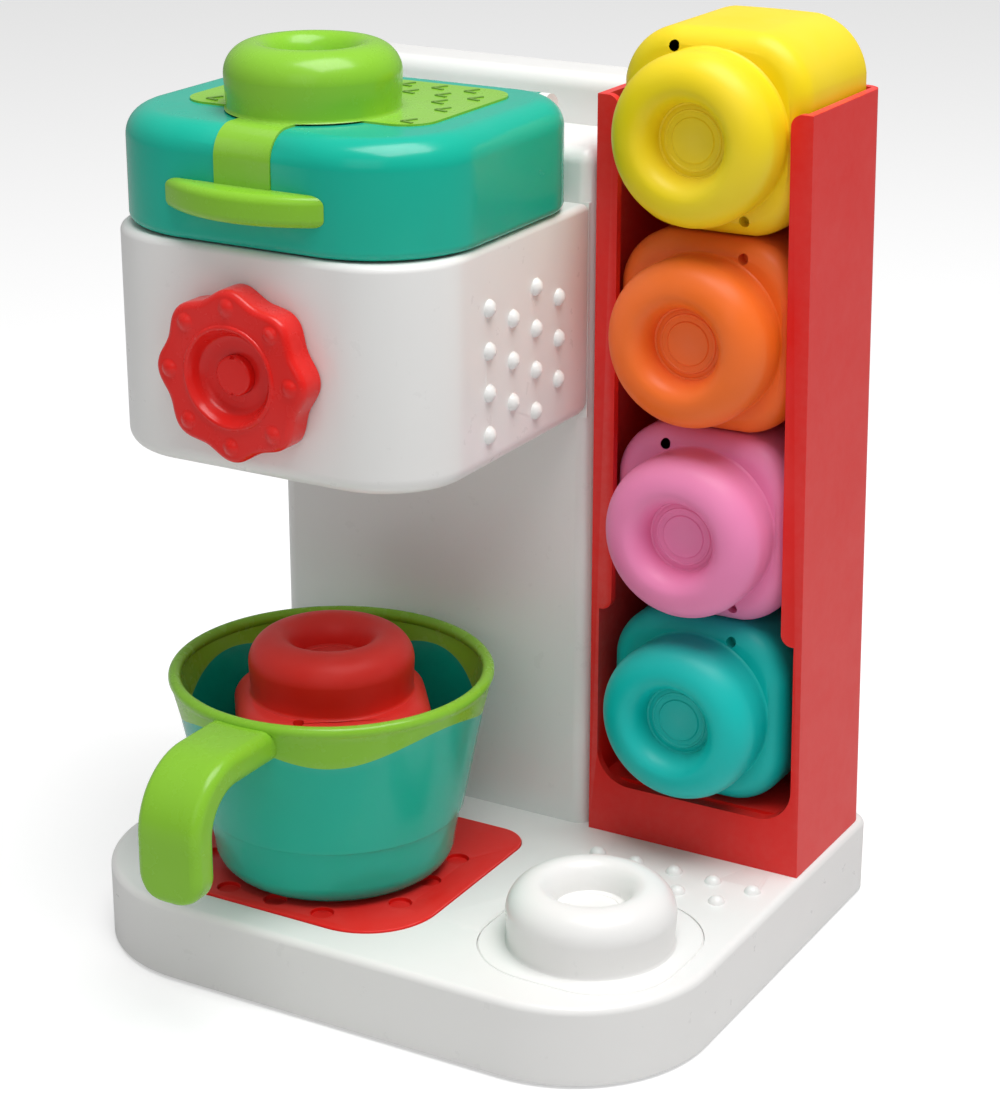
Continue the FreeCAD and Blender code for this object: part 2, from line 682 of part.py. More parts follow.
def chute():
    inset = WALL + SLIP
    radius = HEAD_R - inset
    deck = slab(MID_X - HEAD_HALF + inset, MID_X + HEAD_HALF - inset, HEAD_FRONT + inset,
                COLUMN_FRONT - inset, DECK_Z, DECK_Z + DECK_T, (radius, radius, 1, 1))
    well = box(MID_X - WELL_HALF_X - WELL_WALL, MID_X + WELL_HALF_X + WELL_WALL,
               WELL_FRONT - WELL_WALL, WELL_BACK + WELL_WALL, WELL_BOTTOM, DECK_Z + DECK_T / 2)
    solid = join([deck, well])
    solid = solid.cut(box(MID_X - WELL_HALF_X, MID_X + WELL_HALF_X, WELL_FRONT, WELL_BACK,
                          WELL_BOTTOM, DECK_Z))
    solid = solid.cut(slab(MID_X - MOUTH_HALF_X, MID_X + MOUTH_HALF_X, WELL_FRONT, WELL_BACK,
                           DECK_Z, DECK_Z + DECK_T, (MOUTH_R,) * 4))
    for side in (-1, 1):
        x = MID_X + side * DOOR_SHAFT_X
        length = WELL_BACK - WELL_FRONT + 2 * WELL_WALL
        solid = solid.cut(rod(V(x, WELL_FRONT - WELL_WALL, DOOR_Z), Y_AXIS, DOOR_PIVOT_R + RUN, length))
    for x, y in deck_bolt_places():
        solid = solid.cut(rod(V(x, y, DECK_Z), Z_AXIS, SCREW_R + SEAT, DECK_T))
    rail = box(MID_X - RAIL_HALF, MID_X + RAIL_HALF, GEAR_Y + SLIP, WELL_FRONT - WELL_WALL / 2,
               WELL_BOTTOM + SLIP, DOOR_Z + WELL_WALL)
    return join([solid, rail])


def deck_screws():
    top = DECK_Z + DECK_T + SCREW_HEAD_H
    return Part.makeCompound([screw(V(x, y, top), -Z_AXIS, SCREW_L) for x, y in deck_bolt_places()])


def drop_door(side):
    """One leaf of the trap under the pod, with moulded pivots; side is -1 left, 1 right."""
    x = MID_X + side * DOOR_SHAFT_X
    y0 = WELL_FRONT + SLIP
    y1 = WELL_BACK - SLIP
    barrel = rod(V(x, y0, DOOR_Z), Y_AXIS, DOOR_BARREL_R, y1 - y0)
    inner = MID_X + side * DOOR_GAP / 2
    leaf = box(min(x, inner), max(x, inner), y0, y1, DOOR_Z - DOOR_T / 2, DOOR_Z + DOOR_T / 2)
    front = rod(V(x, GEAR_Y, DOOR_Z), Y_AXIS, DOOR_PIVOT_R, y0 - GEAR_Y + 1)
    back = rod(V(x, y1 - 1, DOOR_Z), Y_AXIS, DOOR_PIVOT_R, WELL_WALL + SLIP + 1)
    return join([barrel, leaf, front, back])


def tooth(root_x, pitch_x, tip_x, outward):
    """Straight-sided gear tooth pointing to +X or, with outward -1, to -X; centred on z = 0."""
    half = math.pi * TOOTH_MODULE / 4 - BACKLASH / 2
    slope = math.tan(math.radians(PRESSURE))
    wide = half + slope * (pitch_x - root_x)
    narrow = half - slope * (tip_x - pitch_x)
    under = root_x - TOOTH_MODULE
    corners = [(under, -wide), (root_x, -wide), (tip_x, -narrow), (tip_x, narrow), (root_x, wide),
               (under, wide)]
    return loop([V(outward * x, 0, z) for x, z in corners]).extrude(V(0, GEAR_T, 0))


def pinion(side):
    """Toothed sector pressed onto the front pivot of a drop door."""
    tip = PINION_R + TOOTH_UP * TOOTH_MODULE
    root = PINION_R - TOOTH_DOWN * TOOTH_MODULE
    pitch_turn = math.degrees(math.pi * TOOTH_MODULE / PINION_R)
    shapes = [rod(V(0, 0, 0), Y_AXIS, root, GEAR_T)]
    for number in range(-1, math.ceil(DOOR_TURN / pitch_turn) + 2):
        shape = tooth(root, PINION_R, tip, 1)
        shape.rotate(V(0, 0, 0), Y_AXIS, -pitch_turn * number)
        shapes.append(shape)
    solid = join(shapes)
    if side > 0:
        solid = solid.mirror(V(0, 0, 0), X_AXIS)
    at = V(MID_X + side * DOOR_SHAFT_X, GEAR_Y, DOOR_Z)
    solid.translate(at)
    return solid.cut(rod(at, Y_AXIS, DOOR_PIVOT_R + SEAT, GEAR_T))


def door_slider():
    """Plate with a rack on each side, lowered by the crank pin in its slot."""
    pitch_x = DOOR_SHAFT_X - PINION_R
    root_x = pitch_x - TOOTH_DOWN * TOOTH_MODULE
    tip_x = pitch_x + TOOTH_UP * TOOTH_MODULE
    step = math.pi * TOOTH_MODULE
    count = math.ceil(STROKE / step) + 2
    low = DOOR_Z - 1.5 * step
    high = low + (count + 1) * step
    pin_z = DIAL_Z + CRANK_PIN_AT * math.sin(math.radians(DIAL_TURN / 2))
    parts = [box(-root_x, root_x, 0, GEAR_T, low, high),
             box(-YOKE_HALF, YOKE_HALF, 0, GEAR_T, high - step, pin_z + YOKE_ABOVE)]
    for number in range(count):
        for side in (-1, 1):
            shape = tooth(root_x, pitch_x, tip_x, side)
            shape.translate(V(0, 0, DOOR_Z + (number - 0.5) * step))
            parts.append(shape)
    solid = join(parts)
    near = CRANK_PIN_AT * math.cos(math.radians(DIAL_TURN / 2))
    play = CRANK_PIN_R + CRANK_PIN_PLAY
    slot = box(near, CRANK_PIN_AT, 0, GEAR_T, pin_z - play, pin_z + play)
    for x in (near, CRANK_PIN_AT):
        slot = slot.fuse(rod(V(x, 0, pin_z), Y_AXIS, play, GEAR_T))
    track = RAIL_HALF + RAIL_PLAY
    track_top = DOOR_Z + WELL_WALL + RAIL_PLAY + STROKE
    solid = solid.cut(slot).cut(box(-track, track, 0, GEAR_T, low, track_top))
    solid.translate(V(MID_X, GEAR_Y, 0))
    return solid


def dial():
    """Eight-lobed knob with a dished face, modelled facing up, and its axle."""
    body = rod(V(0, 0, 0), Z_AXIS, DIAL_R, DIAL_T)
    for number in range(DIAL_LOBES):
        turn = math.radians((number + 0.5) * 360 / DIAL_LOBES)
        at = V(DIAL_CUT_AT * math.cos(turn), DIAL_CUT_AT * math.sin(turn), 0)
        body = body.cut(rod(at, Z_AXIS, DIAL_CUT_R, DIAL_T))
    uprights = [e for e in body.Edges if e.BoundBox.ZLength > DIAL_T - 0.01 and e.BoundBox.XLength < 0.01]
    body = body.makeFillet(DIAL_LOBE_R, uprights)
    body = body.makeFillet(1.6, edges_at(body, DIAL_T))
    dish = cone(V(0, 0, DIAL_T - DIAL_DISH), Z_AXIS, DIAL_DISH_R - 2.5, DIAL_DISH_R, DIAL_DISH)
    body = body.cut(dish)
    body = body.cut(rod(V(0, 0, DIAL_T - DIAL_DISH - 1), Z_AXIS, DIAL_CAP_R + SEAT, 1 + DIAL_DISH))
    parts = [body]
    for number in range(DIAL_LOBES):
        turn = math.radians(number * 360 / DIAL_LOBES)
        bump = dome(1.0, DIAL_BUMP_R)
        bump.translate(V(DIAL_BUMP_AT * math.cos(turn), DIAL_BUMP_AT * math.sin(turn), DIAL_T))
        parts.append(bump)
    parts.append(rod(V(0, 0, -axle_length()), Z_AXIS, DIAL_AXLE_R, axle_length() + 1))
    solid = join(parts)
    solid = solid.cut(rod(V(0, 0, -axle_length()), Z_AXIS, SCREW_R + SEAT, DIAL_BORE))
    return facing_front(solid, V(MID_X, HEAD_FRONT - SLIP, DIAL_Z))


def axle_length():
    """From the back of the dial to the crank's front face."""
    return SLIP + WALL + AXLE_BOSS_H + SLIP


def dial_cap():
    """Plug in the middle of the dial, with two small notches."""
    cap = rod(V(0, 0, 0), Z_AXIS, DIAL_CAP_R, 3.4)
    cap = cap.makeFillet(0.8, edges_at(cap, 3.4))
    for side in (-1, 1):
        cap = cap.cut(box(-0.7, 0.7, side * DIAL_CAP_R - 0.8, side * DIAL_CAP_R + 0.8, 2.4, 3.4))
    return facing_front(cap, V(MID_X, HEAD_FRONT - SLIP - DIAL_T + DIAL_DISH + 1, DIAL_Z))


def crank():
    """Notched disc with the pin that works the door slider, screwed to the dial's axle."""
    front = HEAD_FRONT - SLIP + axle_length()
    disc = rod(V(0, front, 0), Y_AXIS, CRANK_R, CRANK_T)
    turn = math.radians(DIAL_TURN / 2)
    at = V(CRANK_PIN_AT * math.cos(turn), front, CRANK_PIN_AT * math.sin(turn))
    pin = rod(at, Y_AXIS, CRANK_PIN_R, GEAR_Y + GEAR_T - front)
    solid = disc.fuse(pin)
    for angle in (0, DIAL_TURN):
        lean = math.radians(90 + angle)
        notch = V(CRANK_R * math.cos(lean), front, CRANK_R * math.sin(lean))
        solid = solid.cut(rod(notch, Y_AXIS, NOTCH_R, CRANK_T))
    solid = solid.cut(rod(V(0, front, 0), Y_AXIS, SCREW_R + SEAT, CRANK_T))
    solid.translate(V(MID_X, 0, DIAL_Z))
    return solid


def crank_screw():
    back = HEAD_FRONT - SLIP + axle_length() + CRANK_T
    head = rod(V(MID_X, back, DIAL_Z), Y_AXIS, CRANK_HEAD_R, GEAR_Y - back - 0.1)
    length = CRANK_T + CRANK_SCREW_L
    return head.fuse(rod(V(MID_X, back - length, DIAL_Z), Y_AXIS, SCREW_R, length))


def detent_spring():
    """Plastic leaf whose bump clicks into the crank's notches."""
    y0 = HEAD_FRONT + WALL + LEAF_POST_H
    y1 = y0 + LEAF_T
    z = DIAL_Z + CRANK_R + LEAF_ABOVE
    strip = z - LEAF_POST_R + LEAF_T
    clear = LEAF_POST_X - LEAF_POST_R
    bar = box(MID_X - LEAF_SPAN, MID_X + LEAF_SPAN, y0, y1, z - LEAF_POST_R, z + LEAF_POST_R)
    bar = bar.cut(box(MID_X - clear, MID_X + clear, y0, y1, strip, z + LEAF_POST_R))
    drop = box(MID_X - NOTCH_R / 2, MID_X + NOTCH_R / 2, HEAD_FRONT + axle_length(), y1,
               DIAL_Z + CRANK_R + SLIP, strip)
    return join([bar, drop])


def lid_body(grow):
    """Outer form of the lid, evenly larger or smaller by grow."""
    x0 = MID_X - LID_HALF - grow
    x1 = MID_X + LID_HALF + grow
    front = LID_FRONT_R + grow
    back = LID_BACK_R + grow
    body = slab(x0, x1, LID_FRONT - grow, LID_BACK + grow, LID_BOTTOM - grow, LID_TOP + grow,
                (front, front, back, back))
    body = body.makeFillet(LID_TOP_R + grow, edges_at(body, LID_TOP + grow))
    if grow > -LID_LOW_R:
        body = body.makeFillet(LID_LOW_R + grow, edges_at(body, LID_BOTTOM - grow))
    return body


def inlay_region():
    """Where the coloured panel and front band lie on the lid."""
    panel = slab(MID_X - PANEL_HALF, MID_X + PANEL_HALF, PANEL_Y0, PANEL_Y1,
                 LID_TOP - LID_WALL, LID_TOP + 2, (PANEL_R,) * 4)
    band = box(MID_X - BAND_HALF, MID_X + BAND_HALF, LID_FRONT - 2, PANEL_Y0 + 5, LIP_Z, LID_TOP + 2)
    return panel.fuse(band)


def lid_shell():
    shell = lid_body(0)
    hollow = lid_body(-LID_WALL)
    floor = slab(MID_X - LID_HALF + LID_WALL, MID_X + LID_HALF - LID_WALL, LID_FRONT + LID_WALL,
                 LID_BACK - LID_WALL, LID_BOTTOM, LID_BOTTOM + 9,
                 (LID_FRONT_R - LID_WALL, LID_FRONT_R - LID_WALL,
                  LID_BACK_R - LID_WALL, LID_BACK_R - LID_WALL))
    shell = shell.cut(hollow.fuse(floor))
    pocket = inlay_region().common(lid_body(0)).cut(lid_body(-INLAY_SUNK))
    shell = shell.cut(pocket)
    parts = [shell]
    for side in (-1, 1):
        x0 = MID_X + side * HINGE_X - KNUCKLE_W / 2
        profile = [V(x0, LID_BACK - 1.4, LID_TOP - 9), V(x0, HINGE_Y, HINGE_Z - KNUCKLE_R),
                   V(x0, HINGE_Y, HINGE_Z + KNUCKLE_R), V(x0, LID_BACK - 1.4, LID_TOP - 2.5)]
        parts.append(loop(profile).extrude(V(KNUCKLE_W, 0, 0)))
        parts.append(rod(V(x0, HINGE_Y, HINGE_Z), X_AXIS, KNUCKLE_R, KNUCKLE_W))
    shell = join(parts)
    shell = shell.cut(hinge_pins(RUN))
    for x, y in stud_bolt_places():
        shell = shell.cut(rod(V(x, y, LID_TOP - LID_WALL), Z_AXIS, SCREW_R + SEAT, LID_WALL))
    return shell


def hinge_pins(play):
    pins = []
    for side in (-1, 1):
        half = KNUCKLE_W / 2 + SLIP + EAR_T
        start = V(MID_X + side * HINGE_X - half, HINGE_Y, HINGE_Z)
        pins.append(rod(start, X_AXIS, HINGE_PIN_R + play, 2 * half))
    return Part.makeCompound(pins)


def lid_inlay():
    """Panel, front band and finger lip, one moulding."""
    skin = inlay_region().common(lid_body(INLAY_PROUD)).cut(lid_body(-INLAY_SUNK))
    reach = LID_FRONT - LIP_REACH
    start = V(MID_X - LIP_HALF, LID_FRONT, 0)
    end = V(MID_X + LIP_HALF, LID_FRONT, 0)
    edges = [Part.Arc(start, V(MID_X, reach, 0), end).toShape(), Part.makeLine(end, start)]
    lip = Part.Face(Part.Wire(edges)).extrude(V(0, 0, LIP_T))
    lip.translate(V(0, 0, LIP_Z))
    lip = lip.makeFillet(2.4, [e for e in lip.Edges if e.BoundBox.YMin < LID_FRONT - 1])
    bond = box(MID_X - LIP_HALF + 1, MID_X + LIP_HALF - 1, LID_FRONT - 0.4, LID_FRONT, LIP_Z + 1,
               LIP_Z + LIP_T - 1)
    solid = join([skin, lip, bond]).cut(lid_body(0).cut(inlay_region()))
    for x, y in stud_bolt_places():
        solid = solid.cut(rod(V(x, y, LID_TOP - LID_WALL), Z_AXIS, SCREW_R + SEAT, LID_WALL + 1))
    return solid


def stud_bolt_places():
    return [(MID_X + side * STUD_BOLT_X, LID_STUD_Y) for side in (-1, 1)]


def lid_stud():
    ring = stud()
    ring.translate(V(MID_X, LID_STUD_Y, LID_TOP + INLAY_PROUD))
    for x, y in stud_bolt_places():
        ring = ring.cut(rod(V(x, y, LID_TOP), Z_AXIS, SCREW_R + SEAT, STUD_SCREW_L))
    return ring


def lid_screws():
    top = LID_TOP - LID_WALL - SCREW_HEAD_H
    return Part.makeCompound([screw(V(x, y, top), Z_AXIS, STUD_SCREW_L) for x, y in stud_bolt_places()])


def mug_wall():
    """Cup without its handle: a turned wall with a raised floor and a foot."""
    foot = BASE_TOP - BASE_SEAT_DEPTH + TRAY_T + SLIP
    shoulder = foot + 7.5
    slant = (MUG_RIM_R - MUG_GROOVE_R - MUG_STEP) / (MUG_TOP - MUG_GROOVE_Z)
    outer_low = (MUG_LOW_R, 0, shoulder)
    outer_groove = (MUG_GROOVE_R, 0, MUG_GROOVE_Z)
    outer_step = (MUG_GROOVE_R + MUG_STEP, 0, MUG_GROOVE_Z + 0.6)
    outer_top = (MUG_RIM_R, 0, MUG_TOP)
    inner_top = (MUG_RIM_R - MUG_WALL, 0, MUG_TOP)
    floor_r = MUG_GROOVE_R - MUG_WALL - slant * (MUG_GROOVE_Z - MUG_FLOOR)
    bend = (MUG_FOOT_R + 4.6, 0, foot + 2.3)
    points = [outer_low, outer_groove, outer_step, outer_top, inner_top,
              (floor_r, 0, MUG_FLOOR), (0, 0, MUG_FLOOR), (0, 0, MUG_FLOOR - MUG_WALL),
              (MUG_FOOT_R - 1.5, 0, MUG_FLOOR - MUG_WALL), (MUG_FOOT_R - 1.5, 0, foot),
              (MUG_FOOT_R, 0, foot)]
    edges = [line(a, b) for a, b in zip(points, points[1:])]
    edges.append(arc((MUG_FOOT_R, 0, foot), bend, outer_low))
    return spun(Part.Face(Part.Wire(edges)), V(MID_X, MUG_Y, 0))


def wave_tool():
    """Upper colour of the mug: everything above a line that dips four times round the cup."""
    centre = V(MID_X, MUG_Y, 0)
    tool = box(MID_X - WAVE_SPAN, MID_X + WAVE_SPAN, MUG_Y - WAVE_SPAN, MUG_Y + WAVE_SPAN,
               WAVE_TOP, MUG_TOP + 10)
    for quarter in (0, 90):
        turn = math.radians(WAVE_TURN + quarter)
        along = V(math.cos(turn), math.sin(turn), 0)
        start = centre + V(0, 0, WAVE_LOW + WAVE_R) - along * WAVE_SPAN
        tool = tool.fuse(rod(start, along, WAVE_R, 2 * WAVE_SPAN))
    return tool


def handle():
    """Open J-shaped handle towards the front, with bevelled edges and a rounded end."""
    y_out = MUG_Y - HANDLE_REACH
    y_in = y_out + HANDLE_T
    root = MUG_Y - MUG_RIM_R + 1.6
    inner_r = HANDLE_R - HANDLE_T
    low = HANDLE_TOP - HANDLE_T
    k = math.sqrt(0.5)
    outer_mid = (0, y_out + HANDLE_R * (1 - k), HANDLE_TOP - HANDLE_R * (1 - k))
    inner_mid = (0, y_in + inner_r * (1 - k), low - inner_r * (1 - k))
    edges = [line((0, root, HANDLE_TOP), (0, y_out + HANDLE_R, HANDLE_TOP)),
             arc((0, y_out + HANDLE_R, HANDLE_TOP), outer_mid, (0, y_out, HANDLE_TOP - HANDLE_R)),
             line((0, y_out, HANDLE_TOP - HANDLE_R), (0, y_out, HANDLE_END)),
             line((0, y_out, HANDLE_END), (0, y_in, HANDLE_END)),
             line((0, y_in, HANDLE_END), (0, y_in, low - inner_r)),
             arc((0, y_in, low - inner_r), inner_mid, (0, y_in + inner_r, low)),
             line((0, y_in + inner_r, low), (0, root, low)),
             line((0, root, low), (0, root, HANDLE_TOP))]
    grip = Part.Face(Part.Wire(edges)).extrude(V(HANDLE_W, 0, 0))
    grip.translate(V(-HANDLE_W / 2, 0, 0))
    at_root = [e for e in grip.Edges if e.BoundBox.YMin > root - 0.01]
    at_end = edges_at(grip, HANDLE_END)
    skipped = [e.hashCode() for e in at_root + at_end]
    sides = [e for e in grip.Edges if e.BoundBox.XLength < 0.01 and e.hashCode() not in skipped]
    grip = grip.makeChamfer(HANDLE_BEVEL, sides)
    half = HANDLE_W / 2
    inner = half - HANDLE_END_R
    above = HANDLE_END + HANDLE_END_R
    keep = [box(-half, half, y_out - 1, root + 1, above, HANDLE_TOP + 1),
            box(-inner, inner, y_out - 1, root + 1, HANDLE_END, above)]
    for x in (-inner, inner):
        keep.append(rod(V(x, y_out - 1, above), Y_AXIS, HANDLE_END_R, HANDLE_REACH))
    grip = grip.common(join(keep))
    grip.translate(V(MID_X, 0, 0))
    return grip


def mug_inside():
    """Room inside the cup, to keep the handle's root out of it."""
    return cone(V(MID_X, MUG_Y, MUG_FLOOR), Z_AXIS, MUG_GROOVE_R - MUG_WALL - 1,
                MUG_RIM_R - MUG_WALL, MUG_TOP - MUG_FLOOR)


def mug_cup():
    return mug_wall().cut(wave_tool())


def mug_rim():
    """Upper part of the mug in the second colour: rim, rolled lip and handle."""
    ring = mug_wall().common(wave_tool())
    lip = Part.makeTorus(MUG_RIM_R - MUG_WALL / 2, MUG_LIP, V(MID_X, MUG_Y, MUG_TOP - MUG_LIP / 2), Z_AXIS)
    grip = handle().cut(mug_inside()).cut(mug_wall().cut(wave_tool()))
    return join([ring, lip, grip])


def rack_outline(y0, y1, z0, z1, inset, top_open):
    """Tapered box of the rack: the right wall leans in towards the top."""
    def right(z):
        return RACK_RIGHT - inset - RACK_LEAN * (z - BASE_TOP) / (RACK_TOP - BASE_TOP)
    left = RACK_LEFT + inset
    top = z1 + (RACK_OPEN if top_open else 0)
    face = loop([V(left, y0, z0), V(right(z0), y0, z0), V(right(top), y0, top), V(left, y0, top)])
    return face.extrude(V(0, y1 - y0, 0))


def pod_rack():
    outer = rack_outline(RACK_FRONT, BACK_Y, BASE_TOP, RACK_TOP, 0, False)
    back_right = [e for e in outer.Edges if e.BoundBox.ZLength > 100 and e.BoundBox.YMin > BACK_Y - 1]
    outer = outer.makeFillet(RACK_BACK_R, back_right)
    bay = rack_outline(RACK_FRONT + RACK_WALL, BACK_Y - RACK_WALL, RACK_FLOOR, RACK_TOP, RACK_WALL, True)
    under = rack_outline(RACK_FRONT + RACK_WALL, BACK_Y - RACK_WALL, BASE_TOP + RACK_WALL,
                         RACK_FLOOR - RACK_WALL, RACK_WALL, False)
    solid = outer.cut(bay).cut(under)
    slit = rack_outline(RACK_FRONT - 1, RACK_FRONT + RACK_WALL + 1, FLANGE_END, RACK_TOP, FLANGE_W, True)
    wide = rack_outline(RACK_FRONT - 1, RACK_FRONT + RACK_WALL + 1, RACK_SILL, FLANGE_END, RACK_WALL, False)
    sill = [e for e in wide.Edges if abs(e.BoundBox.ZMax - RACK_SILL) < 0.01 and e.BoundBox.XLength < 0.01]
    wide = wide.makeFillet(RACK_SILL_R, sill)
    solid = solid.cut(slit).cut(wide)
    corner = [e for e in solid.Edges if e.BoundBox.YLength > RACK_WALL - 0.01 and
              e.BoundBox.XLength < 0.01 and e.BoundBox.ZLength < 0.01 and
              e.BoundBox.YMax < RACK_FRONT + RACK_WALL + 0.01 and
              (abs(e.BoundBox.ZMin - FLANGE_END) < 0.01 or abs(e.BoundBox.ZMin - RACK_TOP) < 0.01) and
              RACK_LEFT + FLANGE_W - 0.1 < e.BoundBox.XMin < RACK_RIGHT - FLANGE_W + 0.1]
    solid = solid.makeFillet(FLANGE_R, corner)
    posts = [rod(V(x, y, BASE_TOP + RACK_WALL / 2), Z_AXIS, BOSS_R, BOSS_H) for x, y in rack_bolt_places()]
    solid = join([solid] + posts)
    for x, y in rack_bolt_places():
        solid = solid.cut(rod(V(x, y, BASE_TOP), Z_AXIS, SCREW_R + SEAT, SCREW_L))
    return solid


def rack_pod(place, hole_side):
    """A pod lying in the rack with its ring to the front; place 0 is the lowest."""
    z = RACK_FLOOR + SLIP + POD_HALF + place * (2 * POD_HALF + POD_GAP)
    back = BACK_Y - RACK_WALL - SLIP
    return facing_front(pod(hole_side), V(POD_X, back, z))


def pod_red():
    solid = pod(1)
    solid.rotate(V(0, 0, 0), Z_AXIS, 37)
    solid.translate(V(MID_X, MUG_Y, MUG_FLOOR + SLIP))
    return solid


NODES = {
    "base_shell": base_shell, "base_plate": base_plate, "rubber_feet": rubber_feet,
    "base_screws": base_screws, "stacking_ring": stacking_ring, "drip_tray": drip_tray,
    "tower_shell": tower_shell, "back_cover": back_cover, "cover_screws": cover_screws,
    "tower_screws": tower_screws, "rack_screws": rack_screws, "head_screws": head_screws,
    "head_shell": head_shell, "chute": chute, "deck_screws": deck_screws,
    "detent_spring": detent_spring, "pod_rack": pod_rack,
    "hinge_pins": lambda: hinge_pins(0), "lid_shell": lid_shell, "lid_inlay": lid_inlay,
    "lid_stud": lid_stud, "lid_screws": lid_screws,
    "dial": dial, "dial_cap": dial_cap, "crank": crank, "crank_screw": crank_screw,
    "door_slider": door_slider,
    "drop_door_left": lambda: drop_door(-1), "drop_door_right": lambda: drop_door(1),
    "pinion_left": lambda: pinion(-1), "pinion_right": lambda: pinion(1),
    "mug_cup": mug_cup, "mug_rim": mug_rim, "pod_red": pod_red,
    "pod_teal": lambda: rack_pod(0, 1), "pod_pink": lambda: rack_pod(1, -1),
    "pod_orange": lambda: rack_pod(2, 1), "pod_yellow": lambda: rack_pod(3, -1),
}

os.makedirs("parts", exist_ok=True)
for name, make in NODES.items():
    shape = make()
    shape.translate(V(0, FRAME_SHIFT, 0))
    shape.exportStep("parts/" + name + ".step")
    print(name, "valid" if shape.isValid() else "NOT VALID", len(shape.Solids), round(shape.Volume, 1))
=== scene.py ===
import math

import bmesh
import bpy
import numpy as np
from bpy.props import FloatProperty, FloatVectorProperty, PointerProperty
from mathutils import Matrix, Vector


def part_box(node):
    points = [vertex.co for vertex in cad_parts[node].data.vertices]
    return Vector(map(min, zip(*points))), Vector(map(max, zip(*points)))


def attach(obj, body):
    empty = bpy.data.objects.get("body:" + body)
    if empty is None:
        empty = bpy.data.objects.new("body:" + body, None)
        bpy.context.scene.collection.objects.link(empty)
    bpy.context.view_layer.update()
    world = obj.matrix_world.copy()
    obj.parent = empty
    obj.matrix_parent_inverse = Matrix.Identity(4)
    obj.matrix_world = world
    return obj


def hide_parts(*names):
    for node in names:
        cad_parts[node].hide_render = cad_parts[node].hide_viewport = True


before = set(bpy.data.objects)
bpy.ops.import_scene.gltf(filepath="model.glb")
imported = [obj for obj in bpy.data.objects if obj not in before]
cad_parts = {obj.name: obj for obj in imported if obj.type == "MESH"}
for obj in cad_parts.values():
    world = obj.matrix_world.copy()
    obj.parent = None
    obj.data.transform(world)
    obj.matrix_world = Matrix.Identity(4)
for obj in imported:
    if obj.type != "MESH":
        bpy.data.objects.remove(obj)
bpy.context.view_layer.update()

bl_info = {
    "name": "Toy coffee maker",
    "version": (1, 0, 0),
    "blender": (4, 5, 0),
    "location": "3D View > Sidebar > Coffee maker",
    "description": "Dresses a toddler's coffee maker with its lid, dial, mug, rack and stacking pods",
    "category": "Object",
}

MM = 0.001

# Places and sizes that several pieces share, in millimetres of the frame
AROUND = 192
CORNER_SPREAD = 8.0
SHARP = math.radians(40)
CAD_SHARP = math.radians(32)
CAD_FLAT = math.radians(0.2)
WELD = 1e-6
SMALL_EDGE = 0.3
CAP_EDGE = 0.2

# Pods, heights from the back of the body
POD_HALF = 26.7
POD_CORNER = 17.0
POD_DEPTH = 41.7
POD_BACK_R = 2.5
POD_FRONT_R = 6.0
POD_LEVELS = (8.0, 14.0, 20.0, 26.0, 31.0)
POD_IN_MUG_TURN = 37.0
AIR_HOLE_R = 1.5
AIR_HOLE_AT = (10.6, 21.9)
AIR_HOLE_REACH = (-4, 5)

# Stacking rings, the socket that they fit, and the pad of the one on the base
RING_R = 22.8
RING_FOOT = 22.3
RING_H = 16.8
RING_ROLL = 8.0
DISH_R = 9.8
DISH_DEPTH = 7.4
CIRCLE_RISE = 0.22
DISC_RISE = 0.3
SOCKET_R = 23.4
SOCKET_DEPTH = 19.6
PAD_HALF = 28.0
PAD_CORNER = 22.0
PAD_T = 1.8
PAD_EDGE = 0.4

# Rim inside the head's open top
RIM_INSET = 1.8
RIM_W = 4.5
RIM_T = 1.6
RIM_SINK = 0.05
RIM_OUTER_R = 22.0
RIM_INNER_R = 28.0
RIM_BACK_R = 1.0

# Mug, heights from the floor
MUG_FOOT = (27.5, 24.1)
MUG_LOW = (33.6, 31.6)
MUG_GROOVE = (35.4, 41.5)
MUG_STEP = (36.2, 42.1)
MUG_ABOVE_STEP = 43.5
MUG_SWELL = 7.0
MUG_RIM = (44.1, 81.6)
MUG_WALL = 2.2
MUG_FLOOR = 33.0
MUG_LIP = 1.7
MUG_LIP_TURN = (-50, 230)
WAVE_MID = 72.9
WAVE_SWING = 3.1
WAVE_TURN = 32.0
WAVE_COUNT = 4
HANDLE_REACH = 78.7
HANDLE_W = 19.5
HANDLE_T = 9.1
HANDLE_TOP = 80.8
HANDLE_BEND = 20.0
HANDLE_END = 43.4
HANDLE_END_R = 8.0
HANDLE_EDGE = 3.0
HANDLE_ROOT = 0.6
HANDLE_AROUND = 96

# Dial, heights from its back face
DIAL_R = 21.6
DIAL_WAVE = 1.0
DIAL_LOBES = 8
DIAL_T = 8.2
DIAL_EDGE = 1.9
DIAL_LOBES_END = 14.6
DIAL_LOBES_FADE = 4
DIAL_FACE_STEP = 0.3
DIAL_BEAD_AT = 13.0
DIAL_BEAD_R = 0.75
DIAL_DISH = ((11.9, 7.7), (11.5, 6.9), (11.0, 5.6), (10.4, 4.7), (9.6, 4.15), (8.6, 4.0))
DIAL_SEAT = ((5.3, 4.0), (5.25, 3.9), (5.25, 3.0), (0, 3.0))
DIAL_AXLE_R = 5.0
DIAL_AXLE = 5.0
DIAL_BUMP_AT = 18.2
DIAL_BUMP_R = 2.3
DIAL_BUMP_H = 0.95

# Angle marks on the lid's panel, from the ring's centre
MARK_ROWS = 6
MARK_COLUMNS = range(-3, 4)
MARK_PITCH = (9.8, 8.2)
MARK_STAGGER = 0.4
MARK_FRONT = 5.3
MARK_SIDE = 30.0
MARK_CLEAR = 4.5
MARK_W = 0.9
MARK_RISE = 0.3
MARK_SINK = 0.2
MARK_STROKES = ((65, 4.6), (-12, 3.68))

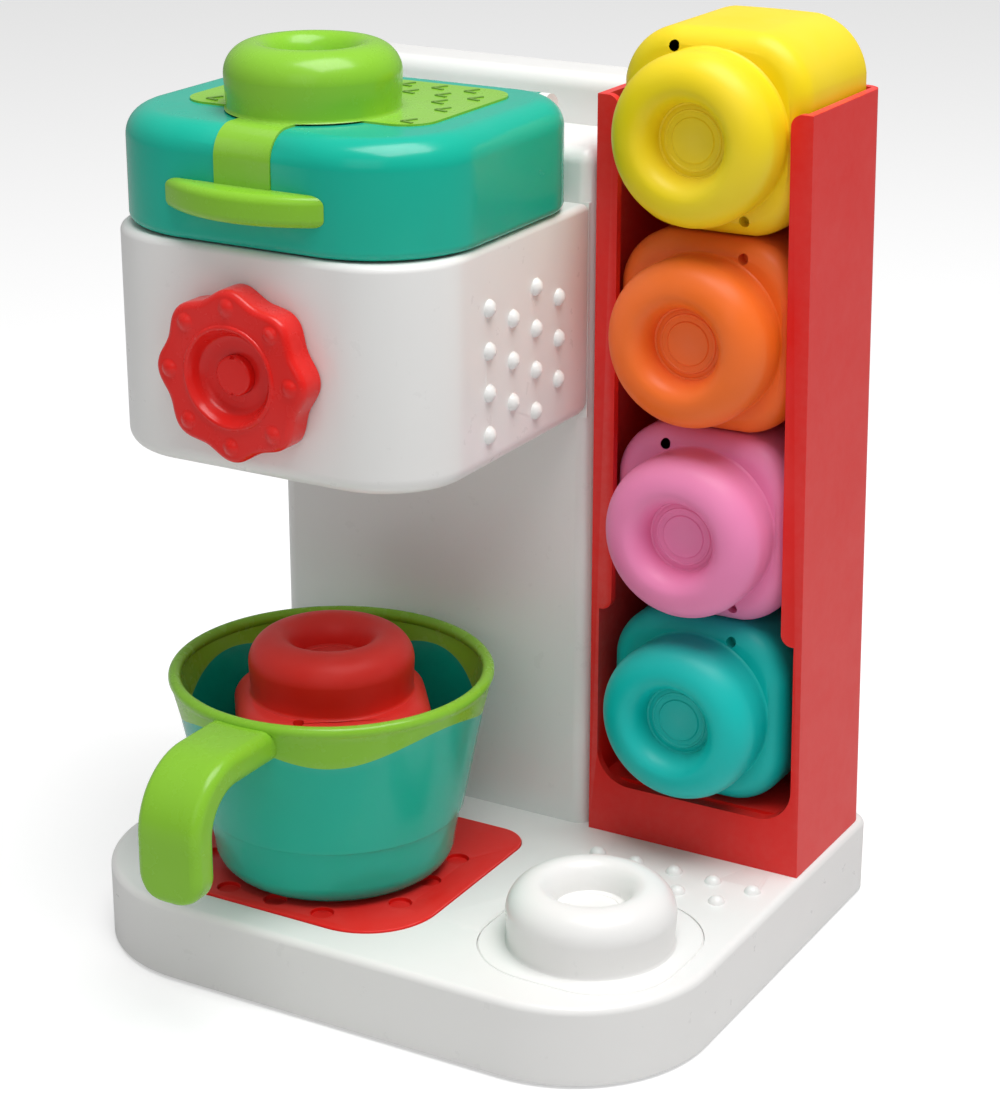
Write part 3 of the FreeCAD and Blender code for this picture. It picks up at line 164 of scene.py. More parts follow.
# Finishes, noise scales per metre
MOTTLE_SCALE = 38.0
GLOSS_SCALE = 160.0
GLOSS_SWING = 0.16
RUB_SCALE = 420.0
RUB_EDGES = (0.52, 0.62)
RUB_COLOUR = (0.95, 0.94, 0.92, 1)
RUB_DULLING = 0.3
DUST_SCALE = 90.0
DUST_COLOUR = (0.62, 0.60, 0.57, 1)
DUST_DULLING = 0.8
COAT_ROUGHNESS = 0.1

# Stage, camera place in millimetres, lamps and floor in metres and watts
CAMERA_AT = (359.85, -596.83, 374.91)
CAMERA_TURN = 29.757
CAMERA_TILT = 20.312
FOCAL_PIXELS = 2763.99
FRAME_PIXELS = (1000, 1100)
SENSOR = 36.0
FLOOR_HALF = 6.0
FLOOR_GREY = 0.68
FLOOR_GLOW = 0.45
ROOM_LIGHT = 0.31
LAMP_AIM = (0.0, 0.0, 0.12)
LAMPS = (("key", (0.35, -0.10, 1.45), 1.0, 21.0), ("fill", (0.45, -1.35, 0.85), 0.9, 1.6))


def low_of(node):
    return np.array(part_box(node)[0]) / MM


def high_of(node):
    return np.array(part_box(node)[1]) / MM


def middle_of(node):
    return (low_of(node) + high_of(node)) / 2


# Forms

def bend(centre, radius, start, stop, steps):
    """Points of a circular bend in a profile: centre plus radius times (cos, sin) of equally
    spaced angles from start to stop, in degrees."""
    angle = np.radians(np.linspace(start, stop, steps))
    return [(centre[0] + radius * c, centre[1] + radius * s)
            for c, s in zip(np.cos(angle), np.sin(angle))]


def around(count=AROUND):
    """Unit directions at equal steps round the Z axis."""
    angle = np.arange(count) * (2 * np.pi / count)
    return angle, np.stack([np.cos(angle), np.sin(angle)], -1)


def rounded_rows(half_x, half_y, front_r, back_r, profile, count=AROUND):
    """Level rings of a rounded rectangle. Each ring is its corner centre times a pinch, plus the
    corner radius less an inset along the outward direction. The corner that a direction belongs to
    changes softly, by the direction times a spread clipped to one. A profile row is a pinch, an
    inset and a height."""
    direction = around(count)[1]
    lean = np.clip(direction * CORNER_SPREAD, -1, 1)
    radius = front_r + (back_r - front_r) * (1 + lean[:, 1]) / 2
    corner = lean * (np.array([half_x, half_y]) - radius[:, None])
    pinch, inset, height = np.array(profile, float).T[:, :, None, None]
    flat = pinch * corner + (radius[None, :, None] - inset) * direction
    level = np.broadcast_to(height, flat.shape[:2] + (1,))
    return np.concatenate([flat, level], -1)


def turned_rows(profile, count=AROUND):
    """Rings of a turned form: each profile point's radius times the direction, at its height."""
    direction = around(count)[1]
    radius, height = np.array(profile, float).T
    flat = radius[:, None, None] * direction
    return np.concatenate([flat, np.broadcast_to(height[:, None, None], flat.shape[:2] + (1,))], -1)


def carried_rows(path, side, section):
    """A section carried along a path that lies in one upright plane: each ring is the path point,
    plus the section's first number along side, plus its second along side crossed with the path's
    direction. Section is points per ring: rings, points, 2."""
    path = np.array(path, float)
    along = np.gradient(path, axis=0)
    along /= np.linalg.norm(along, axis=1)[:, None]
    up = np.cross(np.array(side, float), along)
    return path[:, None] + section[..., :1] * np.array(side, float) + section[..., 1:] * up[:, None]


def to_front(rows):
    """Turns a form that was made facing up so that it faces the front."""
    return np.stack([rows[..., 0], -rows[..., 2], rows[..., 1]], -1)


def skin(name, rows, ends_meet=False):
    """Mesh through a grid of rings; the last ring joins the first where ends_meet."""
    rings, points = rows.shape[:2]
    ring = np.arange(rings if ends_meet else rings - 1)[:, None]
    point = np.arange(points)[None, :]
    after = (point + 1) % points
    above = (ring + 1) % rings
    quads = np.stack([ring * points + point, ring * points + after,
                      above * points + after, above * points + point], -1).reshape(-1, 4)
    mesh = bpy.data.meshes.new(name)
    mesh.from_pydata(rows.reshape(-1, 3) * MM, [], quads)
    return finished(name, mesh)


def placed_in_scene(name, data):
    """Object of a mesh, lamp or camera, linked into the scene."""
    piece = bpy.data.objects.new(name, data)
    bpy.context.scene.collection.objects.link(piece)
    return piece


def finished(name, mesh):
    """Merges the doubled points of a mesh, points its faces outwards and shades it smooth
    except across sharp edges."""
    work = bmesh.new()
    work.from_mesh(mesh)
    bmesh.ops.remove_doubles(work, verts=work.verts, dist=WELD)
    bmesh.ops.recalc_face_normals(work, faces=work.faces)
    for face in work.faces:
        face.smooth = True
    work.to_mesh(mesh)
    work.free()
    mesh.set_sharp_from_angle(angle=SHARP)
    return placed_in_scene(name, mesh)


def joined(name, pieces):
    """One mesh object out of several closed ones."""
    work = bmesh.new()
    for piece in pieces:
        work.from_mesh(piece.data)
        bpy.data.objects.remove(piece)
    mesh = bpy.data.meshes.new(name)
    work.to_mesh(mesh)
    work.free()
    mesh.set_sharp_from_angle(angle=SHARP)
    return placed_in_scene(name, mesh)


def drilled(piece, cutters):
    """Cuts closed forms out of a piece and keeps the result as its mesh."""
    for cutter in cutters:
        cut = piece.modifiers.new("hole", "BOOLEAN")
        cut.operation = "DIFFERENCE"
        cut.solver = "EXACT"
        cut.object = cutter
    graph = bpy.context.evaluated_depsgraph_get()
    mesh = bpy.data.meshes.new_from_object(piece.evaluated_get(graph))
    mesh.name = piece.name
    piece.modifiers.clear()
    piece.data = mesh
    mesh.set_sharp_from_angle(angle=SHARP)
    for cutter in cutters:
        bpy.data.objects.remove(cutter)
    return piece


def moulded(node, name, edge):
    """Merged copy of a CAD node with its flat faces whole, its sharp edges rounded by edge
    millimetres and its curved faces shaded smooth."""
    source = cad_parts[node]
    work = bmesh.new()
    work.from_mesh(source.data)
    bmesh.ops.remove_doubles(work, verts=work.verts, dist=2 * WELD)
    bmesh.ops.dissolve_limit(work, angle_limit=CAD_FLAT, verts=work.verts, edges=work.edges)
    for face in work.faces:
        face.smooth = True
    mesh = bpy.data.meshes.new(name)
    work.to_mesh(mesh)
    work.free()
    mesh.set_sharp_from_angle(angle=CAD_SHARP)
    piece = placed_in_scene(name, mesh)
    if edge:
        soft = piece.modifiers.new("soft edges", "BEVEL")
        soft.width = edge * MM
        soft.segments = 2
        soft.limit_method = "ANGLE"
        soft.angle_limit = math.radians(38)
        soft.use_clamp_overlap = True
        soft.harden_normals = True
    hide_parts(node)
    return piece


def dressed(piece, material, body):
    """Gives a piece its material and the body it rides on."""
    piece.data.materials.clear()
    piece.data.materials.append(material)
    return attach(piece, body)


# Finishes

def effect(name, inputs, outputs):
    """New shader node group with named inputs (type, default) and outputs (type)."""
    group = bpy.data.node_groups.new(name, "ShaderNodeTree")
    for label, (kind, default) in inputs.items():
        socket = group.interface.new_socket(label, in_out="INPUT", socket_type=kind)
        socket.default_value = default
    for label, kind in outputs.items():
        group.interface.new_socket(label, in_out="OUTPUT", socket_type=kind)
    return group, group.nodes.new("NodeGroupInput"), group.nodes.new("NodeGroupOutput")


def node_in(tree, kind, **settings):
    """New shader node of a kind, with its settings."""
    made = tree.nodes.new(kind)
    for key, value in settings.items():
        setattr(made, key, value)
    return made


def noise_in(tree, point, scale, detail, rough=0.5):
    """Output of a noise node at a point."""
    made = node_in(tree, "ShaderNodeTexNoise")
    made.inputs["Scale"].default_value = scale
    made.inputs["Detail"].default_value = detail
    made.inputs["Roughness"].default_value = rough
    tree.links.new(point, made.inputs["Vector"])
    return made.outputs["Fac"]


def spread_in(tree, value, low, high):
    """Value from 0 to 1 moved to the range low to high."""
    made = node_in(tree, "ShaderNodeMapRange")
    made.inputs["To Min"].default_value = low
    made.inputs["To Max"].default_value = high
    tree.links.new(value, made.inputs["Value"])
    return made.outputs["Result"]


def math_in(tree, operation, first, second):
    """Output of a math node whose two inputs are plain numbers or other outputs."""
    made = node_in(tree, "ShaderNodeMath", operation=operation)
    for socket, value in zip(made.inputs, (first, second)):
        if isinstance(value, (int, float)):
            socket.default_value = value
        else:
            tree.links.new(value, socket)
    return made.outputs[0]


def make_mottle():
    """Uneven pigment and gloss of moulded plastic, with a fine mould grain as height."""
    group, given, result = effect(
        "moulding mottle",
        {"Color": ("NodeSocketColor", (0.8, 0.8, 0.8, 1)), "Roughness": ("NodeSocketFloat", 0.35),
         "Variation": ("NodeSocketFloat", 0.05), "Grain": ("NodeSocketFloat", 0.3),
         "Grain Scale": ("NodeSocketFloat", 2500.0)},
        {"Color": "NodeSocketColor", "Roughness": "NodeSocketFloat", "Height": "NodeSocketFloat"})
    point = node_in(group, "ShaderNodeTexCoord").outputs["Object"]
    cloud = noise_in(group, point, MOTTLE_SCALE, 3.0)
    patch = noise_in(group, point, GLOSS_SCALE, 4.0, 0.6)
    grain = node_in(group, "ShaderNodeTexNoise")
    grain.inputs["Detail"].default_value = 2.0
    group.links.new(point, grain.inputs["Vector"])
    group.links.new(given.outputs["Grain Scale"], grain.inputs["Scale"])
    shade = math_in(group, "MULTIPLY", math_in(group, "SUBTRACT", cloud, 0.5),
                    given.outputs["Variation"])
    hue = node_in(group, "ShaderNodeHueSaturation")
    group.links.new(given.outputs["Color"], hue.inputs["Color"])
    group.links.new(math_in(group, "ADD", shade, 1.0), hue.inputs["Value"])
    group.links.new(math_in(group, "ADD", math_in(group, "MULTIPLY", shade, -0.8), 1.0),
                    hue.inputs["Saturation"])
    smear = math_in(group, "MULTIPLY", math_in(group, "SUBTRACT", patch, 0.5), GLOSS_SWING)
    group.links.new(hue.outputs["Color"], result.inputs["Color"])
    group.links.new(math_in(group, "ADD", given.outputs["Roughness"], smear),
                    result.inputs["Roughness"])
    group.links.new(math_in(group, "MULTIPLY", grain.outputs["Fac"], given.outputs["Grain"]),
                    result.inputs["Height"])
    return group


def make_edge_rub():
    """Paler, duller colour where convex edges are rubbed by handling, broken up by noise."""
    group, given, result = effect(
        "edge rub",
        {"Color": ("NodeSocketColor", (0.8, 0.8, 0.8, 1)), "Roughness": ("NodeSocketFloat", 0.35),
         "Amount": ("NodeSocketFloat", 0.3)},
        {"Color": "NodeSocketColor", "Roughness": "NodeSocketFloat"})
    point = node_in(group, "ShaderNodeTexCoord").outputs["Object"]
    convex = node_in(group, "ShaderNodeMapRange")
    convex.inputs["From Min"].default_value, convex.inputs["From Max"].default_value = RUB_EDGES
    shape = node_in(group, "ShaderNodeNewGeometry")
    group.links.new(shape.outputs["Pointiness"], convex.inputs["Value"])
    broken = spread_in(group, noise_in(group, point, RUB_SCALE, 5.0, 0.65), 0.2, 1.0)
    mask = math_in(group, "MULTIPLY", math_in(group, "MULTIPLY", convex.outputs["Result"], broken),
                   given.outputs["Amount"])
    pale = node_in(group, "ShaderNodeMix", data_type="RGBA")
    group.links.new(mask, pale.inputs["Factor"])
    group.links.new(given.outputs["Color"], pale.inputs["A"])
    pale.inputs["B"].default_value = RUB_COLOUR
    group.links.new(pale.outputs["Result"], result.inputs["Color"])
    duller = math_in(group, "MULTIPLY", mask, RUB_DULLING)
    group.links.new(math_in(group, "ADD", given.outputs["Roughness"], duller),
                    result.inputs["Roughness"])
    return group


def make_settled_dust():
    """Thin dust on faces that look up: slightly duller and greyer, in soft patches."""
    group, given, result = effect(
        "settled dust",
        {"Color": ("NodeSocketColor", (0.8, 0.8, 0.8, 1)), "Roughness": ("NodeSocketFloat", 0.35),
         "Amount": ("NodeSocketFloat", 0.1)},
        {"Color": "NodeSocketColor", "Roughness": "NodeSocketFloat"})
    point = node_in(group, "ShaderNodeTexCoord").outputs["Object"]
    parted = node_in(group, "ShaderNodeSeparateXYZ")
    shape = node_in(group, "ShaderNodeNewGeometry")
    group.links.new(shape.outputs["Normal"], parted.inputs["Vector"])
    facing = math_in(group, "MAXIMUM", parted.outputs["Z"], 0.0)
    patches = spread_in(group, noise_in(group, point, DUST_SCALE, 6.0, 0.6), 0.1, 1.0)
    mask = math_in(group, "MULTIPLY", math_in(group, "MULTIPLY", facing, patches),
                   given.outputs["Amount"])
    grey = node_in(group, "ShaderNodeMix", data_type="RGBA")
    group.links.new(mask, grey.inputs["Factor"])
    group.links.new(given.outputs["Color"], grey.inputs["A"])
    grey.inputs["B"].default_value = DUST_COLOUR
    group.links.new(grey.outputs["Result"], result.inputs["Color"])
    duller = math_in(group, "MULTIPLY", mask, DUST_DULLING)
    group.links.new(math_in(group, "ADD", given.outputs["Roughness"], duller),
                    result.inputs["Roughness"])
    return group


def effect_group(name):
    """One of the three groups, made when it is first asked for."""
    makers = {"moulding mottle": make_mottle, "edge rub": make_edge_rub,
              "settled dust": make_settled_dust}
    return bpy.data.node_groups.get(name) or makers[name]()


def plastic(name, colour, roughness, variation=0.06, grain=0.3, grain_scale=2500.0, bump=0.04,
            rub=0.25, dust=0.05, coat=0.0, metallic=0.0, shine=0.3):
    """Moulded finish: mottled pigment, rubbed edges, a little dust and a fine grain."""
    found = bpy.data.materials.get(name)
    if found:
        return found
    material = bpy.data.materials.new(name)
    material.use_nodes = True
    tree = material.node_tree
    shader = tree.nodes["Principled BSDF"]
    shader.inputs["IOR"].default_value = 1.5
    shader.inputs["Specular IOR Level"].default_value = shine
    shader.inputs["Coat Weight"].default_value = coat
    shader.inputs["Coat Roughness"].default_value = COAT_ROUGHNESS
    shader.inputs["Metallic"].default_value = metallic
    mottle = node_in(tree, "ShaderNodeGroup", node_tree=effect_group("moulding mottle"))
    mottle.inputs["Color"].default_value = (*colour, 1)
    mottle.inputs["Roughness"].default_value = roughness
    mottle.inputs["Variation"].default_value = variation
    mottle.inputs["Grain"].default_value = grain
    mottle.inputs["Grain Scale"].default_value = grain_scale
    worn = node_in(tree, "ShaderNodeGroup", node_tree=effect_group("edge rub"))
    worn.inputs["Amount"].default_value = rub
    dusty = node_in(tree, "ShaderNodeGroup", node_tree=effect_group("settled dust"))
    dusty.inputs["Amount"].default_value = dust
    for before, after in ((mottle, worn), (worn, dusty)):
        tree.links.new(before.outputs["Color"], after.inputs["Color"])
        tree.links.new(before.outputs["Roughness"], after.inputs["Roughness"])
    raised = node_in(tree, "ShaderNodeBump")
    raised.inputs["Strength"].default_value = bump
    raised.inputs["Distance"].default_value = 0.2 * MM
    tree.links.new(mottle.outputs["Height"], raised.inputs["Height"])
    tree.links.new(dusty.outputs["Color"], shader.inputs["Base Color"])
    tree.links.new(dusty.outputs["Roughness"], shader.inputs["Roughness"])
    tree.links.new(raised.outputs["Normal"], shader.inputs["Normal"])
    return material


def colour_of(name):
    return tuple(getattr(bpy.context.scene.maker_colours, name))


def body_white():
    return plastic("white moulding", colour_of("white"), 0.30, variation=0.03, rub=0.0, coat=0.15)


def rack_red():
    return plastic("rack red moulding", colour_of("red"), 0.36, coat=0.02, rub=0.1, shine=0.2)


def dial_red():
    return plastic("dial red moulding", colour_of("red"), 0.26, coat=0.12, rub=0.06)


def lid_teal():
    return plastic("lid teal moulding", colour_of("teal"), 0.24, coat=0.12, rub=0.05, dust=0.02)


def mug_teal():
    return plastic("mug teal moulding", colour_of("teal"), 0.20, coat=0.15, rub=0.05, dust=0.02)


def bright_green():
    return plastic("green moulding", colour_of("green"), 0.26, coat=0.12, rub=0.06, dust=0.02)


def mark_green():
    deep = tuple(channel * 0.55 for channel in colour_of("green"))
    return plastic("panel mark green", deep, 0.4, rub=0.05)


def soft_pod(name):
    return plastic(name.replace("_", " ") + " soft rubber", colour_of(name), 0.40, variation=0.08,
                   grain=0.5, grain_scale=3200.0, bump=0.06, rub=0.10, dust=0.06)


def inner_grey():
    return plastic("inner grey moulding", colour_of("grey"), 0.5, grain=0.6, bump=0.1)


def screw_steel():
    return plastic("screw steel", colour_of("steel"), 0.32, variation=0.15, grain=0.6, bump=0.12,
                   rub=0.0, metallic=1.0)


def foot_rubber():
    return plastic("foot rubber", colour_of("rubber"), 0.75, variation=0.2, grain=0.8, bump=0.3,
                   rub=0.2)


def skin_node(node, material):
    """Better material on a CAD node that stays."""
    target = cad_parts[node]
    target.data.materials.clear()
    target.data.materials.append(material)


# Stacking ring, shared by the pods, the lid and the base

def ring_profile():
    """Turned profile from the ring's foot over its rolled rim into the dish: straight foot, a
    quarter bend, an inward quarter bend and a flat floor with plain raised circles."""
    waist = RING_H - RING_ROLL
    crest = RING_R - RING_ROLL
    floor = RING_H - DISH_DEPTH
    fall = crest - DISH_R
    turn = np.radians(np.linspace(90, 180, 16))[1:]
    side = [(crest + fall * c, floor + DISH_DEPTH * s) for c, s in zip(np.cos(turn), np.sin(turn))]
    foot = [(RING_FOOT + 0.5, 0.0), (RING_FOOT + 0.12, 0.35), (RING_FOOT, 1.0),
            ((RING_FOOT + RING_R) / 2, waist / 2)]
    circle, disc = floor + CIRCLE_RISE, floor + DISC_RISE
    circles = [(9.3, floor - 0.18), (8.9, floor), (8.2, floor), (8.0, circle), (7.6, circle),
               (7.4, floor), (6.1, floor), (5.8, disc), (0.0, disc)]
    return foot + bend((crest, waist), RING_ROLL, 0, 90, 24) + side + circles


def pod_rows():
    """Pod standing upright. Rounded square rings up the body, whose corners pinch in to a circle
    on the shoulder, then the turned stacking ring; below, the socket."""
    socket = POD_CORNER - SOCKET_R
    rows = [(0, POD_CORNER - 0.01, SOCKET_DEPTH), (0, socket + 6, SOCKET_DEPTH),
            (0, socket + 0.8, SOCKET_DEPTH), (0, socket, SOCKET_DEPTH - 0.8), (0, socket, 1.0),
            (0, socket - 0.2, 0.25), (0.3, socket + 2.5, 0.0)]
    rows += [(1, POD_BACK_R - x, POD_BACK_R - y) for x, y in bend((0, 0), POD_BACK_R, 0, 90, 8)[::-1]]
    rows += [(1, 0, z) for z in POD_LEVELS]
    shoulder = bend((0, POD_DEPTH - POD_FRONT_R), POD_FRONT_R, 0, 76, 14)
    rows += [(1, POD_FRONT_R - x, z) for x, z in shoulder]
    top = shoulder[-1][1]
    rows += [(0.7, 1.2, top + 0.10), (0.35, -2.2, top + 0.16)]
    rows += [(0, POD_CORNER - r, POD_DEPTH + z) for r, z in ring_profile()]
    return rounded_rows(POD_HALF, POD_HALF, POD_CORNER, POD_CORNER, rows)


def air_holes(side):
    """Two small round cutters beside the ring."""
    cutters = []
    for turn in (1, -1):
        start, stop = AIR_HOLE_REACH
        rows = turned_rows([(0, start), (AIR_HOLE_R, start), (AIR_HOLE_R, stop), (0, stop)], 32)
        across, along = AIR_HOLE_AT
        cutters.append(rows + np.array([side * turn * across, turn * along, POD_DEPTH]))
    return cutters


def make_pod(colour, side, facing, turn=0.0):
    """One pod at its CAD node's place; facing is up for the one in the mug, else the front."""
    node = "pod_" + colour
    rows = pod_rows()
    holes = air_holes(side)
    low, high = low_of(node), high_of(node)
    centre = (low + high) / 2
    if facing == "front":
        move = np.array([centre[0], high[1], centre[2]])
        placed = [to_front(r) + move for r in [rows] + holes]
    else:
        c, s = math.cos(math.radians(turn)), math.sin(math.radians(turn))
        spin = np.array([[c, s, 0], [-s, c, 0], [0, 0, 1]])
        placed = [r @ spin + np.array([centre[0], centre[1], low[2]]) for r in [rows] + holes]
    piece = skin("soft_pod_" + colour, placed[0])
    cutters = [skin("hole", r) for r in placed[1:]]
    drilled(piece, cutters)
    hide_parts(node)
    return dressed(piece, soft_pod("pod_" + colour), colour + "_pod")


def make_head_rim():
    """Flat white rim inside the head's open top, under the lid's rounder corners: a closed band
    between two rounded rectangles."""
    low, high = low_of("head_shell"), high_of("head_shell")
    middle_x = middle_of("tower_shell")[0]
    half_x, half_y = middle_x - low[0] - RIM_INSET, (high - low)[1] / 2 - RIM_INSET
    place = np.array([middle_x, (high + low)[1] / 2, high[2] - RIM_SINK])
    outer = rounded_rows(half_x, half_y, RIM_OUTER_R, RIM_BACK_R, [(1, 0, -RIM_T), (1, 0, 0)])
    inner = rounded_rows(half_x - RIM_W, half_y - RIM_W, RIM_INNER_R, RIM_BACK_R,
                         [(1, 0, 0), (1, 0, -RIM_T)])
    piece = skin("head_rim", np.concatenate([outer, inner]) + place, ends_meet=True)
    return dressed(piece, body_white(), "root")


def make_lid_ring():
    """Turned ring on the lid, closed by a flat bottom."""
    place = middle_of("lid_stud")
    place[2] = low_of("lid_stud")[2]
    piece = skin("lid_ring", turned_rows([(0.0, 0.0)] + ring_profile()) + place)
    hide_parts("lid_stud")
    return dressed(piece, bright_green(), "lid")


def make_base_ring():
    """Rounded square pad let into the base, whose corners pinch in to the turned ring on it."""
    place = middle_of("stacking_ring")
    place[2] = low_of("stacking_ring")[2]
    rows = [(0, PAD_CORNER, 0), (1, PAD_EDGE, 0), (1, 0, PAD_EDGE), (1, 0, PAD_T - PAD_EDGE),
            (1, PAD_EDGE, PAD_T), (0.6, 0.5, PAD_T), (0.2, -0.3, PAD_T)]
    rows += [(0, PAD_CORNER - radius, PAD_T + height) for radius, height in ring_profile()]
    piece = skin("ring_pad", rounded_rows(PAD_HALF, PAD_HALF, PAD_CORNER, PAD_CORNER, rows) + place)
    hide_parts("stacking_ring")
    return dressed(piece, body_white(), "root")


# Mug

def mug_radius(height):
    """Outer radius of the upper cup: straight from the step to the rim."""
    share = (height - MUG_STEP[1]) / (MUG_RIM[1] - MUG_STEP[1])
    return MUG_STEP[0] + (MUG_RIM[0] - MUG_STEP[0]) * share


def border_row(inset):
    """Ring along the wavy colour border: a height that swings a few times round the cup, at the
    wall's radius there less an inset."""
    angle, direction = around()
    height = WAVE_MID - WAVE_SWING * np.cos(WAVE_COUNT * (angle - math.radians(WAVE_TURN)))
    return np.concatenate([direction * (mug_radius(height) - inset)[:, None], height[:, None]], -1)


def between(first, last, steps):
    """Rings evenly spaced from one ring to another, without the first."""
    share = np.linspace(0, 1, steps + 1)[1:, None, None]
    return first + (last - first) * share


def mug_centre():
    """Mug's axis at the floor."""
    centre = middle_of("mug_cup")
    centre[2] = 0
    return centre


def make_bowl():
    """Turned cup: foot, low bend, groove, wall up to the wavy border and down inside to the floor."""
    low = bend((MUG_LOW[0] - MUG_SWELL, MUG_FOOT[1] + MUG_SWELL), MUG_SWELL, -82, -5, 10)
    inner = MUG_FOOT[0] - 1.5
    under = MUG_FLOOR - MUG_WALL
    outside = turned_rows([(0.0, under), (inner - 1.0, under), (inner, under - 1.0),
                           (inner, MUG_FOOT[1]), MUG_FOOT] + low +
                          [MUG_LOW, (MUG_GROOVE[0] - 0.1, MUG_GROOVE[1] - 0.6), MUG_GROOVE,
                           (MUG_GROOVE[0] + 0.25, MUG_GROOVE[1] + 0.35), MUG_STEP,
                           (mug_radius(MUG_ABOVE_STEP), MUG_ABOVE_STEP)])
    floor_r = mug_radius(MUG_FLOOR) - MUG_WALL
    inside = turned_rows([(mug_radius(MUG_FLOOR + 2.5) - MUG_WALL, MUG_FLOOR + 2.5),
                          (floor_r - 0.4, MUG_FLOOR + 0.7), (floor_r - 1.8, MUG_FLOOR),
                          (0.0, MUG_FLOOR)])
    outer_border, inner_border = border_row(0.0), border_row(MUG_WALL)
    rows = np.concatenate([outside, between(outside[-1], outer_border, 12),
                           between(outer_border, inner_border, 2),
                           between(inner_border, inside[0], 14), inside[1:]])
    piece = skin("mug_bowl", rows + mug_centre())
    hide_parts("mug_cup")
    return dressed(piece, mug_teal(), "mug")


def collar_rows():
    """Closed ring of wall from the wavy border up round a rolled lip and down the inside."""
    lip_z = MUG_RIM[1] - MUG_LIP / 2
    roll = turned_rows(bend((MUG_RIM[0] - MUG_WALL / 2, lip_z), MUG_LIP, *MUG_LIP_TURN, 26))
    outer_border, inner_border = border_row(0.0), border_row(MUG_WALL)
    return np.concatenate([outer_border[None], between(outer_border, roll[0], 4), roll[1:],
                           between(roll[-1], inner_border, 4)])


def handle_rows():
    """Rounded flat bar carried along a J: out from the collar, a quarter bend, and down to an end
    whose width and thickness draw in along quarter circles."""
    mid = HANDLE_T / 2
    out = HANDLE_REACH - mid
    radius = HANDLE_BEND - mid
    level = HANDLE_TOP - mid
    root = mug_radius(level) - HANDLE_ROOT
    path = [(0, -y, level) for y in np.linspace(root, out - radius, 10)]
    path += [(0, y, z) for y, z in bend((radius - out, level - radius), radius, 90, 180, 18)[1:]]
    straight = np.linspace(level - radius, HANDLE_END + HANDLE_END_R, 8)[1:]
    tip = HANDLE_END + HANDLE_END_R * (1 - np.sin(np.radians(np.linspace(0, 90, 14))))[1:]
    path = np.array(path + [(0, -out, z) for z in np.concatenate([straight, tip])])
    into_end = np.clip(HANDLE_END + HANDLE_END_R - path[:, 2], 0, HANDLE_END_R)
    into_edge = np.clip(HANDLE_END + HANDLE_EDGE - path[:, 2], 0, HANDLE_EDGE)
    wide = HANDLE_W / 2 - HANDLE_END_R + np.sqrt(HANDLE_END_R ** 2 - into_end ** 2)
    thick = mid - HANDLE_EDGE + np.sqrt(HANDLE_EDGE ** 2 - into_edge ** 2)
    half = np.stack([wide, thick], -1)[:, None]
    direction = around(HANDLE_AROUND)[1]
    lean = np.clip(direction * CORNER_SPREAD, -1, 1)
    corner = np.minimum(HANDLE_EDGE, half)
    rows = carried_rows(path, (1, 0, 0), lean * (half - corner) + corner * direction)
    rows[0, :, 1] = -np.sqrt((mug_radius(rows[0, :, 2]) - MUG_WALL / 2) ** 2 - rows[0, :, 0] ** 2)
    return np.concatenate([rows[:1].mean(1, keepdims=True) + rows[:1] * 0, rows,
                           rows[-1:].mean(1, keepdims=True) + rows[-1:] * 0])


def make_collar():
    """Collar and handle, one moulding: the handle's root ends inside the collar's wall."""
    collar = skin("collar", collar_rows() + mug_centre(), ends_meet=True)
    grip = skin("grip", handle_rows() + mug_centre())
    piece = joined("mug_collar", [collar, grip])
    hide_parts("mug_rim")
    return dressed(piece, bright_green(), "mug")


# Dial

def dial_rows():
    """Knob facing up. Each ring's radius is its own plus a share of a cosine that gives the lobes;
    eight round bumps are added to the face as one less the squared distance over their radius."""
    face = DIAL_T
    rows = [(0, 0, -DIAL_AXLE), (DIAL_AXLE_R, 0, -DIAL_AXLE), (DIAL_AXLE_R, 0, 0), (15.0, 0.4, 0),
            (DIAL_R - 0.5, 1, 0), (DIAL_R, 1, 0.5)]
    rows += [(DIAL_R, 1, z) for z in np.linspace(1.2, face - 2.2, 5)]
    rows += [(r, 1, z) for r, z in bend((DIAL_R - DIAL_EDGE, face - DIAL_EDGE), DIAL_EDGE, 8, 90, 10)]
    rows += [(r, min(1.0, (r - DIAL_LOBES_END) / DIAL_LOBES_FADE), face)
             for r in np.arange(DIAL_R - DIAL_EDGE - DIAL_FACE_STEP, DIAL_LOBES_END, -DIAL_FACE_STEP)]
    rows += [(r, 0, z) for r, z in bend((DIAL_BEAD_AT, face - 0.15), DIAL_BEAD_R, 20, 160, 12)]
    rows += [(r, 0, z) for r, z in DIAL_DISH + DIAL_SEAT]
    radius, share, height = np.array(rows, float).T
    angle, direction = around(2 * AROUND)
    reach = radius[:, None] + DIAL_WAVE * share[:, None] * np.cos(DIAL_LOBES * angle)
    flat = reach[..., None] * direction
    step = 2 * np.pi / DIAL_LOBES
    near = np.round(angle / step) * step
    spot = DIAL_BUMP_AT * np.stack([np.cos(near), np.sin(near)], -1)
    away = np.linalg.norm(flat - spot, axis=-1) / DIAL_BUMP_R
    rise = np.where(height[:, None] > DIAL_T / 2, DIAL_BUMP_H * np.clip(1 - away ** 2, 0, 1), 0)
    return np.concatenate([flat, (height[:, None] + rise)[..., None]], -1)


def make_dial():
    """Knob turned to the front, its back face an axle's length in front of the crank."""
    place = middle_of("dial")
    place[1] = high_of("dial")[1] - DIAL_AXLE
    piece = skin("dial_knob", to_front(dial_rows()) + place)
    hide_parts("dial")
    return dressed(piece, dial_red(), "dial")


# Marks on the lid

